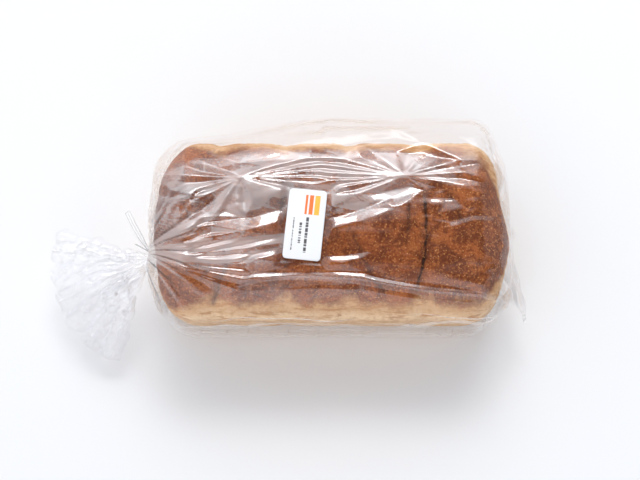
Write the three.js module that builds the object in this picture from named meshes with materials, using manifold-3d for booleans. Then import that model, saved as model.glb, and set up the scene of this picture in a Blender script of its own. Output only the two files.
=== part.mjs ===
// A tin loaf in a clear film bag, lying crust up on its flat base. The bag is gathered against the loaf's
// left end and held by a flat tie, and its open end spreads out beyond the tie as a pleated fan. A small
// blank label is stuck on the film over the crust. The bag with the bread in it is one closed solid out to
// the film.
//
// Millimetres, +Z up, +X towards the bag's sealed end, +Y towards the side where the film stands off the
// loaf. The origin is the middle of the whole outline, on the surface that the loaf stands on. The shapes
// are worked out round the middle of the loaf's base, and the last group moves them to that origin.

import * as THREE from "three";
import { mergeVertices } from "three/addons/utils/BufferGeometryUtils.js";
import Module from "manifold-3d";

// ---- The bread inside
const LOAF_LENGTH = 256;
const LOAF_WIDTH = 130;
const LOAF_HEIGHT = 118;
const SHOULDER_HEIGHT = 84; // where the loaf is widest, above the rim that the tin had
const END_RADIUS = 27; // rounding of the loaf's two ends, in plan and towards the crown
const FOOT_RADIUS = 9;
const FOOT_TAPER = 6; // how far each side leans in from the shoulder to the foot
const DOME_POWER = 0.78; // 1 is an ellipse, and less is boxier
const CREASE_SHARES = [-0.32, -0.13, 0.05, 0.25]; // where dough pieces meet, as shares of the length
const CREASE_WIDTH = 9;
const CREASE_DEPTH = 3.8; // as the film bridges it

// ---- The film round it
const FILM_EASE = 2; // how far the film stands off the crust
const FAR_FIN = 15; // the slack film that stands out along the far side, at its widest
const NEAR_SKIRT = 8; // the slack film that hangs to the table along the near side
const SEAL_FAR = new THREE.Vector3(122, 80, 64); // the ends of the seal that closes the bag's right end
const SEAL_NEAR = new THREE.Vector3(146, -60, 34);
const SEAL_HALF_THICKNESS = 0.8;
const NECK_RADIUS = 6.5;
const NECK_LENGTH = 7;
const NECK_PLACE = new THREE.Vector3(-LOAF_LENGTH / 2 - 3, -18, 57); // where the gathered neck begins
const END_PLEATS = 10; // folds that run into the neck over the left end
const END_PLEAT_DEPTH = 3;

// ---- The open end of the bag, beyond the tie
const TAIL_LENGTH = 72;
const FAN_MIDDLE = THREE.MathUtils.degToRad(204);
const FAN_HALF_ANGLE = THREE.MathUtils.degToRad(44);
const FAN_DROOP = { far: 16, near: 44 };
const FAN_PLEATS = 6;
const FAN_PLEAT_DEPTH = 4.5;
const FAN_HALF_THICKNESS = 1.4;
const BUNDLE_LENGTH = 24; // over this length the round neck flattens into the fan

// ---- The label and the tie
const LABEL_WIDTH = 26.5;
const LABEL_LENGTH = 50;
const LABEL_CORNER = 2.5;
const LABEL_THICKNESS = 0.4;
const LABEL_LIFT = 0.8; // clear of the film's facets
const LABEL_PLACE = new THREE.Vector2(-18.5, -2.3);
const LABEL_TURN = THREE.MathUtils.degToRad(-6);
const TIE_WIDTH = 4;
const TIE_THICKNESS = 0.7;
const TIE_CLEARANCE = 0.6;

// ---- How finely the skin is divided
const HALF_RING = 30; // segments over the top of a section, and as many under it
const RING = 2 * HALF_RING;
const BODY_STATIONS = 34;
const END_STATIONS = 5;
const SEAL_STATIONS = 7;
const GATHER_STATIONS = 7;
const TAIL_STATIONS = 9;

const { clamp, lerp, smoothstep } = THREE.MathUtils;
const HALF_LENGTH = LOAF_LENGTH / 2;
const HALF_WIDTH = LOAF_WIDTH / 2;
const STRAIGHT_HALF = HALF_LENGTH - END_RADIUS;

// How far a rounded end has drawn in at x: 0 along the straight part, END_RADIUS at the very end.
function endInset(x) {
  const past = clamp((Math.abs(x) - STRAIGHT_HALF) / END_RADIUS, 0, 1);
  return END_RADIUS * (1 - Math.sqrt(1 - past * past));
}

// The film's height over the middle of the loaf at x, with a shallow dip at each crease in the dough.
function crownHeight(x) {
  let height = LOAF_HEIGHT + FILM_EASE - endInset(x);
  for (const share of CREASE_SHARES) {
    const away = (x - share * LOAF_LENGTH) / CREASE_WIDTH;
    height -= CREASE_DEPTH * Math.exp(-away * away);
  }
  return height;
}

// Half-widths of the film at the shoulder, on the far (+Y) and near (-Y) sides.
function nearWidth(x) {
  return HALF_WIDTH + FILM_EASE - endInset(x);
}

function farWidth(x) {
  const grows = smoothstep(x, -0.46 * LOAF_LENGTH, 0);
  const ends = 1 - smoothstep(x, 0.44 * LOAF_LENGTH, 0.49 * LOAF_LENGTH);
  return nearWidth(x) + FAR_FIN * grows * ends;
}

// The film's height over any point of the loaf.
function topHeight(x, y) {
  const share = Math.min(Math.abs(y) / (y > 0 ? farWidth(x) : nearWidth(x)), 1);
  const rise = Math.pow(1 - Math.pow(share, 2 / DOME_POWER), DOME_POWER / 2);
  return SHOULDER_HEIGHT + (crownHeight(x) - SHOULDER_HEIGHT) * rise;
}

// One section across the loaf: from the far shoulder down, under the flat base and up to the near
// shoulder, then over the dome back to the far one.
function bodySection(x) {
  const far = farWidth(x);
  const near = nearWidth(x);
  const farFoot = near - FOOT_TAPER;
  const nearFoot = near - FOOT_TAPER + NEAR_SKIRT;
  const lower = new THREE.Path();
  lower.moveTo(far, SHOULDER_HEIGHT);
  lower.lineTo(farFoot, FOOT_RADIUS);
  lower.quadraticCurveTo(farFoot, 0, farFoot - FOOT_RADIUS, 0);
  lower.lineTo(FOOT_RADIUS - nearFoot, 0);
  lower.quadraticCurveTo(-nearFoot, 0, -nearFoot, FOOT_RADIUS);
  lower.lineTo(-near, SHOULDER_HEIGHT);
  const points = [];
  for (const p of lower.getSpacedPoints(HALF_RING).slice(0, HALF_RING)) {
    points.push(new THREE.Vector3(x, p.x, Math.max(p.y, 0)));
  }
  for (let i = 0; i < HALF_RING; i++) {
    const side = -Math.cos((Math.PI * i) / HALF_RING);
    const y = Math.sign(side) * Math.pow(Math.abs(side), DOME_POWER) * (side > 0 ? far : near);
    points.push(new THREE.Vector3(x, y, topHeight(x, y)));
  }
  return points;
}

// Sections from the right end to the left one, closer together where the ends are rounded.
function bodySections() {
  const places = [];
  for (let i = 0; i < END_STATIONS; i++) {
    places.push(STRAIGHT_HALF + END_RADIUS * Math.cos((0.5 * Math.PI * i) / END_STATIONS));
  }
  for (let i = 0; i <= BODY_STATIONS; i++) {
    places.push(lerp(STRAIGHT_HALF, -STRAIGHT_HALF, i / BODY_STATIONS));
  }
  for (let i = 1; i <= END_STATIONS; i++) {
    places.push(-STRAIGHT_HALF - END_RADIUS * Math.sin((0.5 * Math.PI * i) / END_STATIONS));
  }
  return places.map(bodySection);
}

// The film over the right end: from the straight seal, where its two layers lie flat on each other, out
// to the first section of the body. The ends of the seal are the bag's two corners.
function sealSections(first) {
  const seam = first.map((_, i) => {
    const angle = (2 * Math.PI * i) / RING;
    const point = SEAL_NEAR.clone().lerp(SEAL_FAR, (1 + Math.cos(angle)) / 2);
    point.z -= SEAL_HALF_THICKNESS * Math.sin(angle);
    return point;
  });
  const sections = [];
  for (let k = 0; k < SEAL_STATIONS; k++) {
    const share = k / SEAL_STATIONS;
    sections.push(
      first.map((point, i) => {
        const made = seam[i].clone().lerp(point, share);
        made.x = lerp(seam[i].x, point.x, Math.pow(share, 1.5));
        return made;
      }),
    );
  }
  return sections;
}

// A round section of the gathered neck.
function neckSection(x) {
  const points = [];
  for (let i = 0; i < RING; i++) {
    const angle = (2 * Math.PI * i) / RING;
    const y = NECK_PLACE.y + NECK_RADIUS * Math.cos(angle);
    const z = NECK_PLACE.z - NECK_RADIUS * Math.sin(angle);
    points.push(new THREE.Vector3(x, y, z));
  }
  return points;
}

// The film over the left end: the last section of the body drawn in to the neck, with pleats towards it.
function gatherSections(last) {
  const neck = neckSection(NECK_PLACE.x);
  const sections = [];
  for (let k = 1; k < GATHER_STATIONS; k++) {
    const share = k / GATHER_STATIONS;
    const forward = Math.pow(share, 2.2);
    sections.push(
      last.map((point, i) => {
        const fold = Math.pow(Math.sin((Math.PI * END_PLEATS * i) / RING), 2);
        const made = point.clone().lerp(neck[i], share);
        made.x = lerp(point.x, NECK_PLACE.x, forward) - END_PLEAT_DEPTH * fold * Math.sin(Math.PI * share);
        return made;
      }),
    );
  }
  return [...sections, neck, neckSection(NECK_PLACE.x - NECK_LENGTH)];
}

// The free end of the bag: from the tie, arcs that open into a drooping fan of two layers with pleats.
function tailSections() {
  const start = NECK_PLACE.clone();
  start.x -= NECK_LENGTH;
  const sections = [];
  for (let k = 1; k <= TAIL_STATIONS; k++) {
    const share = k / TAIL_STATIONS;
    const reach = TAIL_LENGTH * share;
    const flat = smoothstep(reach, 0, BUNDLE_LENGTH);
    const points = [];
    for (let i = 0; i < RING; i++) {
      const angle = (2 * Math.PI * i) / RING;
      const across = Math.cos(angle);
      const heading = FAN_MIDDLE - across * FAN_HALF_ANGLE;
      const droop = lerp(FAN_DROOP.near, FAN_DROOP.far, (1 + across) / 2) * share * share;
      const fold = FAN_PLEAT_DEPTH * share * Math.sin(Math.PI * FAN_PLEATS * across);
      const thick = -lerp(NECK_RADIUS, FAN_HALF_THICKNESS, flat) * Math.sin(angle);
      const x = start.x + reach * Math.cos(heading);
      const y = start.y + reach * Math.sin(heading) + NECK_RADIUS * across * (1 - flat);
      points.push(new THREE.Vector3(x, y, start.z - droop + fold + thick));
    }
    sections.push(points);
  }
  return sections;
}

// A closed skin through sections of equal count, each turning anticlockwise about the way that they run.
// Each end is closed by a fan of triangles, or by a strip between its two halves where it is a thin slit.
function loft(sections, slits = false) {
  const count = sections[0].length;
  const points = sections.flat();
  const faces = [];
  for (let k = 0; k + 1 < sections.length; k++) {
    for (let i = 0; i < count; i++) {
      const a = k * count + i;
      const b = k * count + ((i + 1) % count);
      faces.push(a, b, b + count, a, b + count, a + count);
    }
  }
  // The corners of a face are turned round on the first section, because it looks back.
  const addFace = (back, a, b, c) => faces.push(...(back ? [a, c, b] : [a, b, c]));
  for (const [section, back] of [[0, true], [sections.length - 1, false]]) {
    const start = section * count;
    if (slits) {
      for (let i = 0; i < count / 2; i++) {
        const facing = start + count - i - 1;
        addFace(back, start + i, start + i + 1, facing);
        if (i > 0) addFace(back, start + i, facing, facing + 1);
      }
    } else {
      const sum = sections[section].reduce((total, p) => total.add(p), new THREE.Vector3());
      points.push(sum.divideScalar(count));
      for (let i = 0; i < count; i++) {
        addFace(back, points.length - 1, start + i, start + ((i + 1) % count));
      }
    }
  }
  const geometry = new THREE.BufferGeometry().setFromPoints(points);
  geometry.setIndex(faces);
  return geometry;
}

// The bag with the loaf in it, from the sealed end to the open mouth of the tail.
function bagGeometry() {
  const body = bodySections();
  const left = gatherSections(body[body.length - 1]);
  return loft([...sealSections(body[0]), ...body, ...left, ...tailSections()], true);
}

// A thin rounded label that follows the film under it: rings that grow from the middle under the label and
// shrink back to the middle on top of it.
function labelGeometry() {
  const w = LABEL_WIDTH / 2;
  const l = LABEL_LENGTH / 2;
  const r = LABEL_CORNER;
  const outline = new THREE.Shape();
  outline.moveTo(r - w, -l);
  outline.lineTo(w - r, -l);
  outline.absarc(w - r, r - l, r, -Math.PI / 2, 0);
  outline.lineTo(w, l - r);
  outline.absarc(w - r, l - r, r, 0, Math.PI / 2);
  outline.lineTo(r - w, l);
  outline.absarc(r - w, l - r, r, Math.PI / 2, Math.PI);
  outline.lineTo(-w, r - l);
  outline.absarc(r - w, r - l, r, Math.PI, 1.5 * Math.PI);
  const edge = outline.getSpacedPoints(48).slice(0, 48);
  const ring = (share, lift) =>
    edge.map((p) => {
      const q = p.clone().multiplyScalar(share);
      q.rotateAround(new THREE.Vector2(), LABEL_TURN).add(LABEL_PLACE);
      return new THREE.Vector3(q.x, q.y, topHeight(q.x, q.y) + LABEL_LIFT + lift);
    });
  const shares = [0.25, 0.5, 0.75, 1];
  const under = shares.map((share) => ring(share, 0));
  const over = shares.map((share) => ring(share, LABEL_THICKNESS)).reverse();
  return loft([...under, ...over]);
}

// A flat strip along a curve. Its width turns about the curve from one angle above the table to another.
function stripGeometry(curve, startTilt, endTilt) {
  const steps = 12;
  const sections = [];
  for (let k = 0; k <= steps; k++) {
    const along = curve.getTangent(k / steps);
    const level = new THREE.Vector3(-along.y, along.x, 0).normalize();
    const upright = along.clone().cross(level).normalize();
    const tilt = lerp(startTilt, endTilt, smoothstep(k / steps, 0, 0.6));
    const wide = level.clone().multiplyScalar(Math.cos(tilt));
    wide.addScaledVector(upright, Math.sin(tilt));
    const thin = along.clone().cross(wide).normalize();
    const middle = curve.getPoint(k / steps);
    sections.push(
      [[1, 1], [-1, 1], [-1, -1], [1, -1]].map(([a, b]) =>
        middle
          .clone()
          .addScaledVector(wide, (a * TIE_WIDTH) / 2)
          .addScaledVector(thin, (b * TIE_THICKNESS) / 2),
      ),
    );
  }
  return loft(sections);
}

// Turns a closed geometry into a manifold-3d solid, and a solid back into a geometry.
const wasm = await Module();
wasm.setup();

function toSolid(geometry) {
  const bare = geometry.index ? geometry.toNonIndexed() : geometry.clone();
  bare.deleteAttribute("normal");
  bare.deleteAttribute("uv");
  const merged = mergeVertices(bare, 1e-3);
  const vertProperties = merged.attributes.position.array;
  const triVerts = new Uint32Array(merged.index.array);
  return new wasm.Manifold(new wasm.Mesh({ numProp: 3, vertProperties, triVerts }));
}

function toGeometry(solid) {
  const mesh = solid.getMesh();
  const geometry = new THREE.BufferGeometry();
  const corners = new Float32Array(mesh.vertProperties);
  geometry.setAttribute("position", new THREE.BufferAttribute(corners, 3));
  geometry.setIndex(new THREE.BufferAttribute(new Uint32Array(mesh.triVerts), 1));
  geometry.computeVertexNormals();
  return geometry;
}

// The tie: a band round the neck, with a long end lying level and a short one standing on its edge.
function tieGeometry() {
  const inner = NECK_RADIUS + TIE_CLEARANCE;
  const outer = inner + TIE_THICKNESS;
  const half = TIE_WIDTH / 2;
  const profile = [
    new THREE.Vector2(inner, -half),
    new THREE.Vector2(outer, -half),
    new THREE.Vector2(outer, half),
    new THREE.Vector2(inner, half),
    new THREE.Vector2(inner, -half),
  ];
  const band = new THREE.LatheGeometry(profile, 40);
  band.rotateZ(Math.PI / 2);
  band.translate(NECK_PLACE.x - NECK_LENGTH / 2, NECK_PLACE.y, NECK_PLACE.z);

  const twist = NECK_PLACE.clone().add(new THREE.Vector3(-NECK_LENGTH / 2, outer, 1));
  const from = (dx, dy, dz) => twist.clone().add(new THREE.Vector3(dx, dy, dz));
  const longEnd = new THREE.CatmullRomCurve3([
    from(0, -0.4, 0),
    from(-3.5, 4, 2.5),
    from(-9, 13, 5),
    from(-14, 22, 6),
    from(-18, 30, 5),
  ]);
  const shortEnd = new THREE.CatmullRomCurve3([
    from(0, -0.4, 0),
    from(-5, 2.5, -1),
    from(-12, 6.5, -2),
  ]);
  const whole = toSolid(band)
    .add(toSolid(stripGeometry(longEnd, Math.PI / 2, 0)))
    .add(toSolid(stripGeometry(shortEnd, Math.PI / 2, Math.PI / 2)));
  return toGeometry(whole);
}

function piece(name, geometry, color, roughness) {
  const mesh = new THREE.Mesh(geometry, new THREE.MeshStandardMaterial({ color, roughness }));
  mesh.name = name;
  return mesh;
}

const loafInBag = new THREE.Group();
loafInBag.add(piece("bag", toGeometry(toSolid(bagGeometry())), "#b98a6c", 0.35));
loafInBag.add(piece("label", toGeometry(toSolid(labelGeometry())), "#f2f2f0", 0.5));
loafInBag.add(piece("tie", tieGeometry(), "#eceded", 0.3));

// The whole outline's middle goes to the origin, with the base on the table.
const outline = new THREE.Box3().setFromObject(loafInBag);
const middle = outline.getCenter(new THREE.Vector3());
loafInBag.position.set(-middle.x, -middle.y, -outline.min.z);

const part = new THREE.Group();
part.add(loafInBag);

export default part;
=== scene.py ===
# %% [markdown]
# # A tin loaf in a tied clear bag
#
# This notebook gives one measured object its looks. The object is a whole wholemeal loaf, baked in a tin
# with its crust free to rise, inside a bag of thin clear film. A tie gathers the bag against the loaf's
# left end, and the open end of the bag fans out beyond it. A small white label is stuck on the film.
#
# The measured model comes first and is never changed. Each piece that we make is put where it says. On the
# way we meet meshes made from arrays, Geometry Nodes recipes, values stored on points, and shaders that
# read them.

# %% Start from the measured model
import math

import bpy
import numpy as np
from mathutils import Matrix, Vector
from mathutils.geometry import delaunay_2d_cdt


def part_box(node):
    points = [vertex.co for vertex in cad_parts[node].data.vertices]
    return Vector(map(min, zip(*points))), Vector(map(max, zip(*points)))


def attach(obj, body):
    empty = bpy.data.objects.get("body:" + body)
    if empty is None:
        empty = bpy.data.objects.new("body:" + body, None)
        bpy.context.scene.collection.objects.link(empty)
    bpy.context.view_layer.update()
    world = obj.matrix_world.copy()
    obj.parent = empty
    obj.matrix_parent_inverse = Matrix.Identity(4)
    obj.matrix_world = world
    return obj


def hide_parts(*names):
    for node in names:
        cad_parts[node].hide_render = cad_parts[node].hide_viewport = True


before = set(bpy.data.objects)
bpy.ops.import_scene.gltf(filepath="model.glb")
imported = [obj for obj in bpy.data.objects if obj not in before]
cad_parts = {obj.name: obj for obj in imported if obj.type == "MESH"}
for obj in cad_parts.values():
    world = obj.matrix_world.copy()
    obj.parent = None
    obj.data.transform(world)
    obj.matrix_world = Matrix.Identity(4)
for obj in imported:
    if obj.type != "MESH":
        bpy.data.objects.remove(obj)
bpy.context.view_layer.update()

print("pieces in the measured model:", sorted(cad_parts))

# %% [markdown]
# ## Sizes
#
# All the shapes below are worked out in millimetres round the middle of the loaf's base, because that is
# how a baker or a bag maker would measure them, and they become metres only when a mesh is made. The middle
# of the loaf follows from the label, which is 18.5 mm to the left of it and 2.3 mm nearer to us.

# %% The loaf and the bag, in millimetres
MM = 0.001
bag_low, bag_high = (np.array(corner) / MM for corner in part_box("bag"))
label_low, label_high = (np.array(corner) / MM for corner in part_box("label"))
tie_low, tie_high = (np.array(corner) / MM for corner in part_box("tie"))

LABEL_PLACE = np.array([-18.5, -2.3])
loaf_middle = np.append((label_low + label_high)[:2] / 2 - LABEL_PLACE, 0.0)

FILM_EASE = 2.0  # how far the film stands off the crust
LOAF_LENGTH, LOAF_WIDTH = 256.0, 130.0
LOAF_HEIGHT = bag_high[2] - FILM_EASE
SHOULDER = 84.0  # height of the tin's rim, where the loaf is widest
END_RADIUS = 27.0
FOOT_RADIUS = 9.0
FOOT_TAPER = 6.0
DOME_POWER = 0.78
HALF_LENGTH, HALF_WIDTH = LOAF_LENGTH / 2, LOAF_WIDTH / 2
STRAIGHT_HALF = HALF_LENGTH - END_RADIUS
CREASES = np.array([-0.32, -0.13, 0.05, 0.25]) * LOAF_LENGTH  # between the five pieces of dough
print("bag from", bag_low.round(1), "to", bag_high.round(1))
print("tie from", tie_low.round(1), "to", tie_high.round(1))
print("middle of the loaf's base:", loaf_middle.round(1), "loaf height:", round(LOAF_HEIGHT, 1))

# %% [markdown]
# ## Helpers for meshes and nodes
#
# A mesh is three lists: points, faces and, where we want them, values stored on the points. Shapes with a
# rule are easier to write as whole arrays with NumPy than point by point, so one helper turns such arrays
# into an object. Another adds a node and joins its inputs in one line, which keeps the node trees below
# readable.


# %% Make an object from arrays
def smoothstep(x, low, high):
    t = np.clip((x - low) / (high - low), 0, 1)
    return t * t * (3 - 2 * t)


def make_piece(name, points, faces, values=None):
    """A smooth-shaded object from points in millimetres, with float values stored on its points."""
    mesh = bpy.data.meshes.new(name)
    mesh.from_pydata((points + loaf_middle) * MM, [], [tuple(map(int, face)) for face in faces])
    for label, numbers in (values or {}).items():
        attribute = mesh.attributes.new(label, "FLOAT", "POINT")
        attribute.data.foreach_set("value", np.asarray(numbers, np.float32))
    mesh.shade_smooth()
    piece = bpy.data.objects.new(name, mesh)
    bpy.context.scene.collection.objects.link(piece)
    return piece


def tube_faces(stations, ring):
    """Quads of a tube of `stations` closed rings with `ring` points each."""
    k, i = np.meshgrid(np.arange(stations - 1), np.arange(ring), indexing="ij")
    a, b = k * ring + i, k * ring + (i + 1) % ring
    return np.stack([a, b, b + ring, a + ring], 2).reshape(-1, 4)


def even_points(line, count):
    """Points spread evenly along a polyline, both ends included."""
    reach = np.append(0, np.cumsum(np.linalg.norm(np.diff(line, axis=0), axis=1)))
    places = np.linspace(0, reach[-1], count)
    return np.stack([np.interp(places, reach, column) for column in line.T], 1)


# %% Add a node in one line
def node(tree, kind, inputs=None, **settings):
    """A new node with its settings, whose inputs are values or the sockets that feed them."""
    made = tree.nodes.new(kind)
    for key, value in settings.items():
        setattr(made, key, value)
    for key, value in (inputs or {}).items():
        if isinstance(value, bpy.types.NodeSocket):
            tree.links.new(value, made.inputs[key])
        else:
            made.inputs[key].default_value = value
    return made


def calc(tree, operation, *values):
    """The output of one Math node."""
    return node(tree, "ShaderNodeMath", dict(enumerate(values)), operation=operation).outputs[0]


def plus(tree, first, *others):
    """The sum of two or more values."""
    for other in others:
        first = calc(tree, "ADD", first, other)
    return first


def times(tree, first, *others):
    """The product of two or more values."""
    for other in others:
        first = calc(tree, "MULTIPLY", first, other)
    return first


def vector(tree, operation, *values, **scale):
    """The output of one Vector Math node."""
    made = node(tree, "ShaderNodeVectorMath", {**dict(enumerate(values)), **scale}, operation=operation)
    return made.outputs["Value" if operation == "DOT_PRODUCT" else "Vector"]


def remap(tree, value, low, high, to_low=0.0, to_high=1.0):
    """A value moved from one range to another, and held inside it."""
    inputs = {"Value": value, "From Min": low, "From Max": high, "To Min": to_low, "To Max": to_high}
    return node(tree, "ShaderNodeMapRange", inputs).outputs["Result"]


def cells(tree, place, scale, feature="F1"):
    """Voronoi cells: how far each place is from the middle of its own cell."""
    made = node(tree, "ShaderNodeTexVoronoi", {"Vector": place, "Scale": scale}, feature=feature)
    return made.outputs["Distance"]


# %% [markdown]
# A Geometry Nodes tree is a recipe that can be used on many objects, with named inputs for its sizes. These
# helpers make an empty recipe, read a stored value, push the skin along its normals, and finish a recipe
# with its material. The last one uses a recipe on an object and turns the result into a plain mesh, so that
# nothing is left to work out when the object is drawn or exported.


# %% Make and use a Geometry Nodes tree
SOCKETS = {float: "NodeSocketFloat", int: "NodeSocketInt", bpy.types.Material: "NodeSocketMaterial"}


def new_recipe(name, inputs):
    tree = bpy.data.node_groups.new(name, "GeometryNodeTree")
    tree.interface.new_socket("Geometry", in_out="INPUT", socket_type="NodeSocketGeometry")
    tree.interface.new_socket("Geometry", in_out="OUTPUT", socket_type="NodeSocketGeometry")
    for label, kind in inputs.items():
        tree.interface.new_socket(label, in_out="INPUT", socket_type=SOCKETS[kind])
    return tree, tree.nodes.new("NodeGroupInput").outputs, tree.nodes.new("NodeGroupOutput")


def on_points(tree, name):
    """A value stored on the points of the mesh that a recipe works on."""
    made = node(tree, "GeometryNodeInputNamedAttribute", {"Name": name}, data_type="FLOAT")
    return made.outputs["Attribute"]


def pushed_out(tree, geometry, height):
    """The skin, moved along its normals by a height in metres."""
    normal = node(tree, "GeometryNodeInputNormal").outputs[0]
    push = vector(tree, "SCALE", normal, Scale=height)
    return node(tree, "GeometryNodeSetPosition", {"Geometry": geometry, "Offset": push}).outputs[0]


def end_recipe(tree, geometry, finish, result):
    """Makes every copy real, gives it its material, and sends it out of the recipe."""
    real = node(tree, "GeometryNodeRealizeInstances", {0: geometry}).outputs[0]
    painted = node(tree, "GeometryNodeSetMaterial", {"Geometry": real, "Material": finish})
    tree.links.new(painted.outputs[0], result.inputs[0])


def use_recipe(piece, tree, **values):
    """Runs a recipe on a piece and keeps the result as the piece's own mesh."""
    modifier = piece.modifiers.new(tree.name, "NODES")
    modifier.node_group = tree
    for item in tree.interface.items_tree:
        name = item.name.lower().replace(" ", "_")
        if item.in_out == "INPUT" and name in values:
            modifier[item.identifier] = values[name]
    bpy.context.view_layer.update()
    graph = bpy.context.evaluated_depsgraph_get()
    worked_out = piece.evaluated_get(graph)
    made = bpy.data.meshes.new_from_object(worked_out, preserve_all_data_layers=True, depsgraph=graph)
    piece.modifiers.clear()
    piece.data = made
    print(piece.name, "has", len(made.polygons), "faces after", tree.name)
    return piece


# %% [markdown]
# ## The camera and the light
#
# The pack is seen almost from above, tilted a little so that the near side shows. The light is a bright
# soft window beyond the far side, inside a wide pale glow, and the rest of the room is dim. A clear film
# has hardly any colour of its own: we see it by what it mirrors, so it needs a bright patch and a dim room
# to mirror.

# %% Camera
VIEW_HEIGHT = math.radians(78.5)
VIEW_DISTANCE = 0.9
aim = Vector((loaf_middle + [-8, 11, 0]) * MM)
looking = Vector((0, math.cos(VIEW_HEIGHT), -math.sin(VIEW_HEIGHT)))

lens = bpy.data.cameras.new("view")
lens.lens, lens.sensor_width = 63, 36
camera = bpy.data.objects.new("view", lens)
camera.location = aim - looking * VIEW_DISTANCE
camera.rotation_euler = looking.to_track_quat("-Z", "Y").to_euler()
bpy.context.scene.collection.objects.link(camera)
bpy.context.scene.camera = camera
bpy.context.scene.view_settings.view_transform = "Standard"
print("camera at", camera.location)

# %% Window
WINDOW_HEIGHT = math.radians(58)
WINDOW_DISTANCE = 2.0
towards_window = Vector((0.05, math.cos(WINDOW_HEIGHT), math.sin(WINDOW_HEIGHT))).normalized()

window = bpy.data.lights.new("window", "AREA")
window.shape = "RECTANGLE"
window.size, window.size_y = 0.68, 0.42
window.energy = 9.2
lamp = bpy.data.objects.new("window", window)
lamp.location = aim + towards_window * WINDOW_DISTANCE
lamp.rotation_euler = (-towards_window).to_track_quat("-Z", "Y").to_euler()
bpy.context.scene.collection.objects.link(lamp)
print("window at", lamp.location)

# %% [markdown]
# The room's glow is painted on the World by direction. Its brightness follows how far a direction is from
# the middle of the glow. A dark patch straight overhead and another past the right end keep the film clear
# over most of the crust, as the dim ceiling of a studio does. The camera itself is shown an even pale room,
# so that low views have a calm background.

# %% Room
GLOW, FILL, ROOM_LIGHT, DARK_LIGHT = 2.1, 0.2, 1.01, 0.07
room = bpy.data.worlds.new("room")
room.use_nodes = True
sky = room.node_tree
sky.nodes.clear()
direction = node(sky, "ShaderNodeTexCoord").outputs["Generated"]


def around(way, outer, inner):
    """1 within the inner angle of a direction, 0 beyond the outer one, in degrees."""
    facing = vector(sky, "DOT_PRODUCT", direction, Vector(way).normalized())
    low, high = (math.cos(math.radians(angle)) for angle in (outer, inner))
    inputs = {"Value": facing, "From Min": low, "From Max": high}
    return node(sky, "ShaderNodeMapRange", inputs, interpolation_type="SMOOTHSTEP").outputs["Result"]


glow = times(sky, around((0, 0.64, 0.77), 25, 11), GLOW)
overhead = around((0.2, 0, 1), 34, 16)
past_the_end = times(sky, around((1, 0, 0.45), 60, 34), 0.6)
dark = calc(sky, "MAXIMUM", overhead, past_the_end)
dim = remap(sky, dark, 0, 1, ROOM_LIGHT, DARK_LIGHT)
fill = times(sky, around((0, -0.75, 0.66), 50, 25), FILL)
strength = plus(sky, glow, fill, dim)
lit = node(sky, "ShaderNodeBackground", {"Color": (0.96, 0.985, 1.04, 1), "Strength": strength})
plain = node(sky, "ShaderNodeBackground", {"Color": (0.93, 0.93, 0.935, 1), "Strength": 1.0})
seen_by_camera = node(sky, "ShaderNodeLightPath").outputs["Is Camera Ray"]
both = node(sky, "ShaderNodeMixShader", {0: seen_by_camera, 1: lit.outputs[0], 2: plain.outputs[0]})
node(sky, "ShaderNodeOutputWorld", {"Surface": both.outputs[0]})
bpy.context.scene.world = room

# %% Floor
FLOOR_HALF = 3000.0
floor_corners = np.array([[-1, -1, 0], [1, -1, 0], [1, 1, 0], [-1, 1, 0]]) * FLOOR_HALF
floor = make_piece("floor", floor_corners, [(0, 1, 2, 3)])
paint = bpy.data.materials.new("pale_floor")
paint.use_nodes = True
coat = paint.node_tree.nodes["Principled BSDF"].inputs
coat["Base Color"].default_value = (0.885, 0.885, 0.885, 1)
coat["Roughness"].default_value = 0.8
coat["Specular IOR Level"].default_value = 0.1
floor.data.materials.append(paint)
print("room has", len(sky.nodes), "nodes, floor is", 2 * FLOOR_HALF, "mm wide")

# %% [markdown]
# ## The shape that the loaf and the film share
#
# The loaf's ends are rounded, and its top dips where one piece of dough met the next. The film lies over
# the same form with a little ease, so both are built from the same few rules. A rounded end draws in along
# a quarter circle. A dip is a bell curve along the loaf.


# %% Rounded ends, dips and domes
def end_inset(x):
    past = np.clip((np.abs(x) - STRAIGHT_HALF) / END_RADIUS, 0, 1)
    return END_RADIUS * (1 - np.sqrt(1 - past**2))


def bells(x, width):
    """A bell curve of height 1 at each crease between two pieces of dough."""
    return sum(np.exp(-(((x - place) / width) ** 2)) for place in CREASES)


def distance_to(line, places):
    """Distance from each place to the nearest point of a polyline, in plan."""
    nearest = np.full(places.shape[:-1], np.inf)
    for a, b in zip(np.array(line, float), np.array(line[1:], float)):
        share = np.clip(((places - a) @ (b - a)) / ((b - a) @ (b - a)), 0, 1)
        nearest = np.minimum(nearest, np.linalg.norm(places - a - share[..., None] * (b - a), axis=-1))
    return nearest


def dome(y, half_width, crown):
    """Height of a domed top at y, from the shoulder at its edge to the crown in the middle."""
    share = np.minimum(np.abs(y) / half_width, 1)
    return SHOULDER + (crown - SHOULDER) * (1 - share ** (2 / DOME_POWER)) ** (DOME_POWER / 2)


# %% [markdown]
# ## The loaf
#
# A tin loaf has upright sides with a slight taper, because it took the shape of the tin, and a dome that
# rose free above the rim. It could be sculpted by hand. Here we write down the test "is this point inside
# the bread?" and let the skin find its place. The test cuts creases into the dome, and one long tear where
# the skin burst. It also draws the risen top in towards the corners of both ends, because dough rises most
# in the middle.
#
# The skin starts as a block of square cells round a small core. Each corner of a cell then travels straight
# outwards until it leaves the bread, which gives even cells on the dome, the sides and the ends alike.


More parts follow.
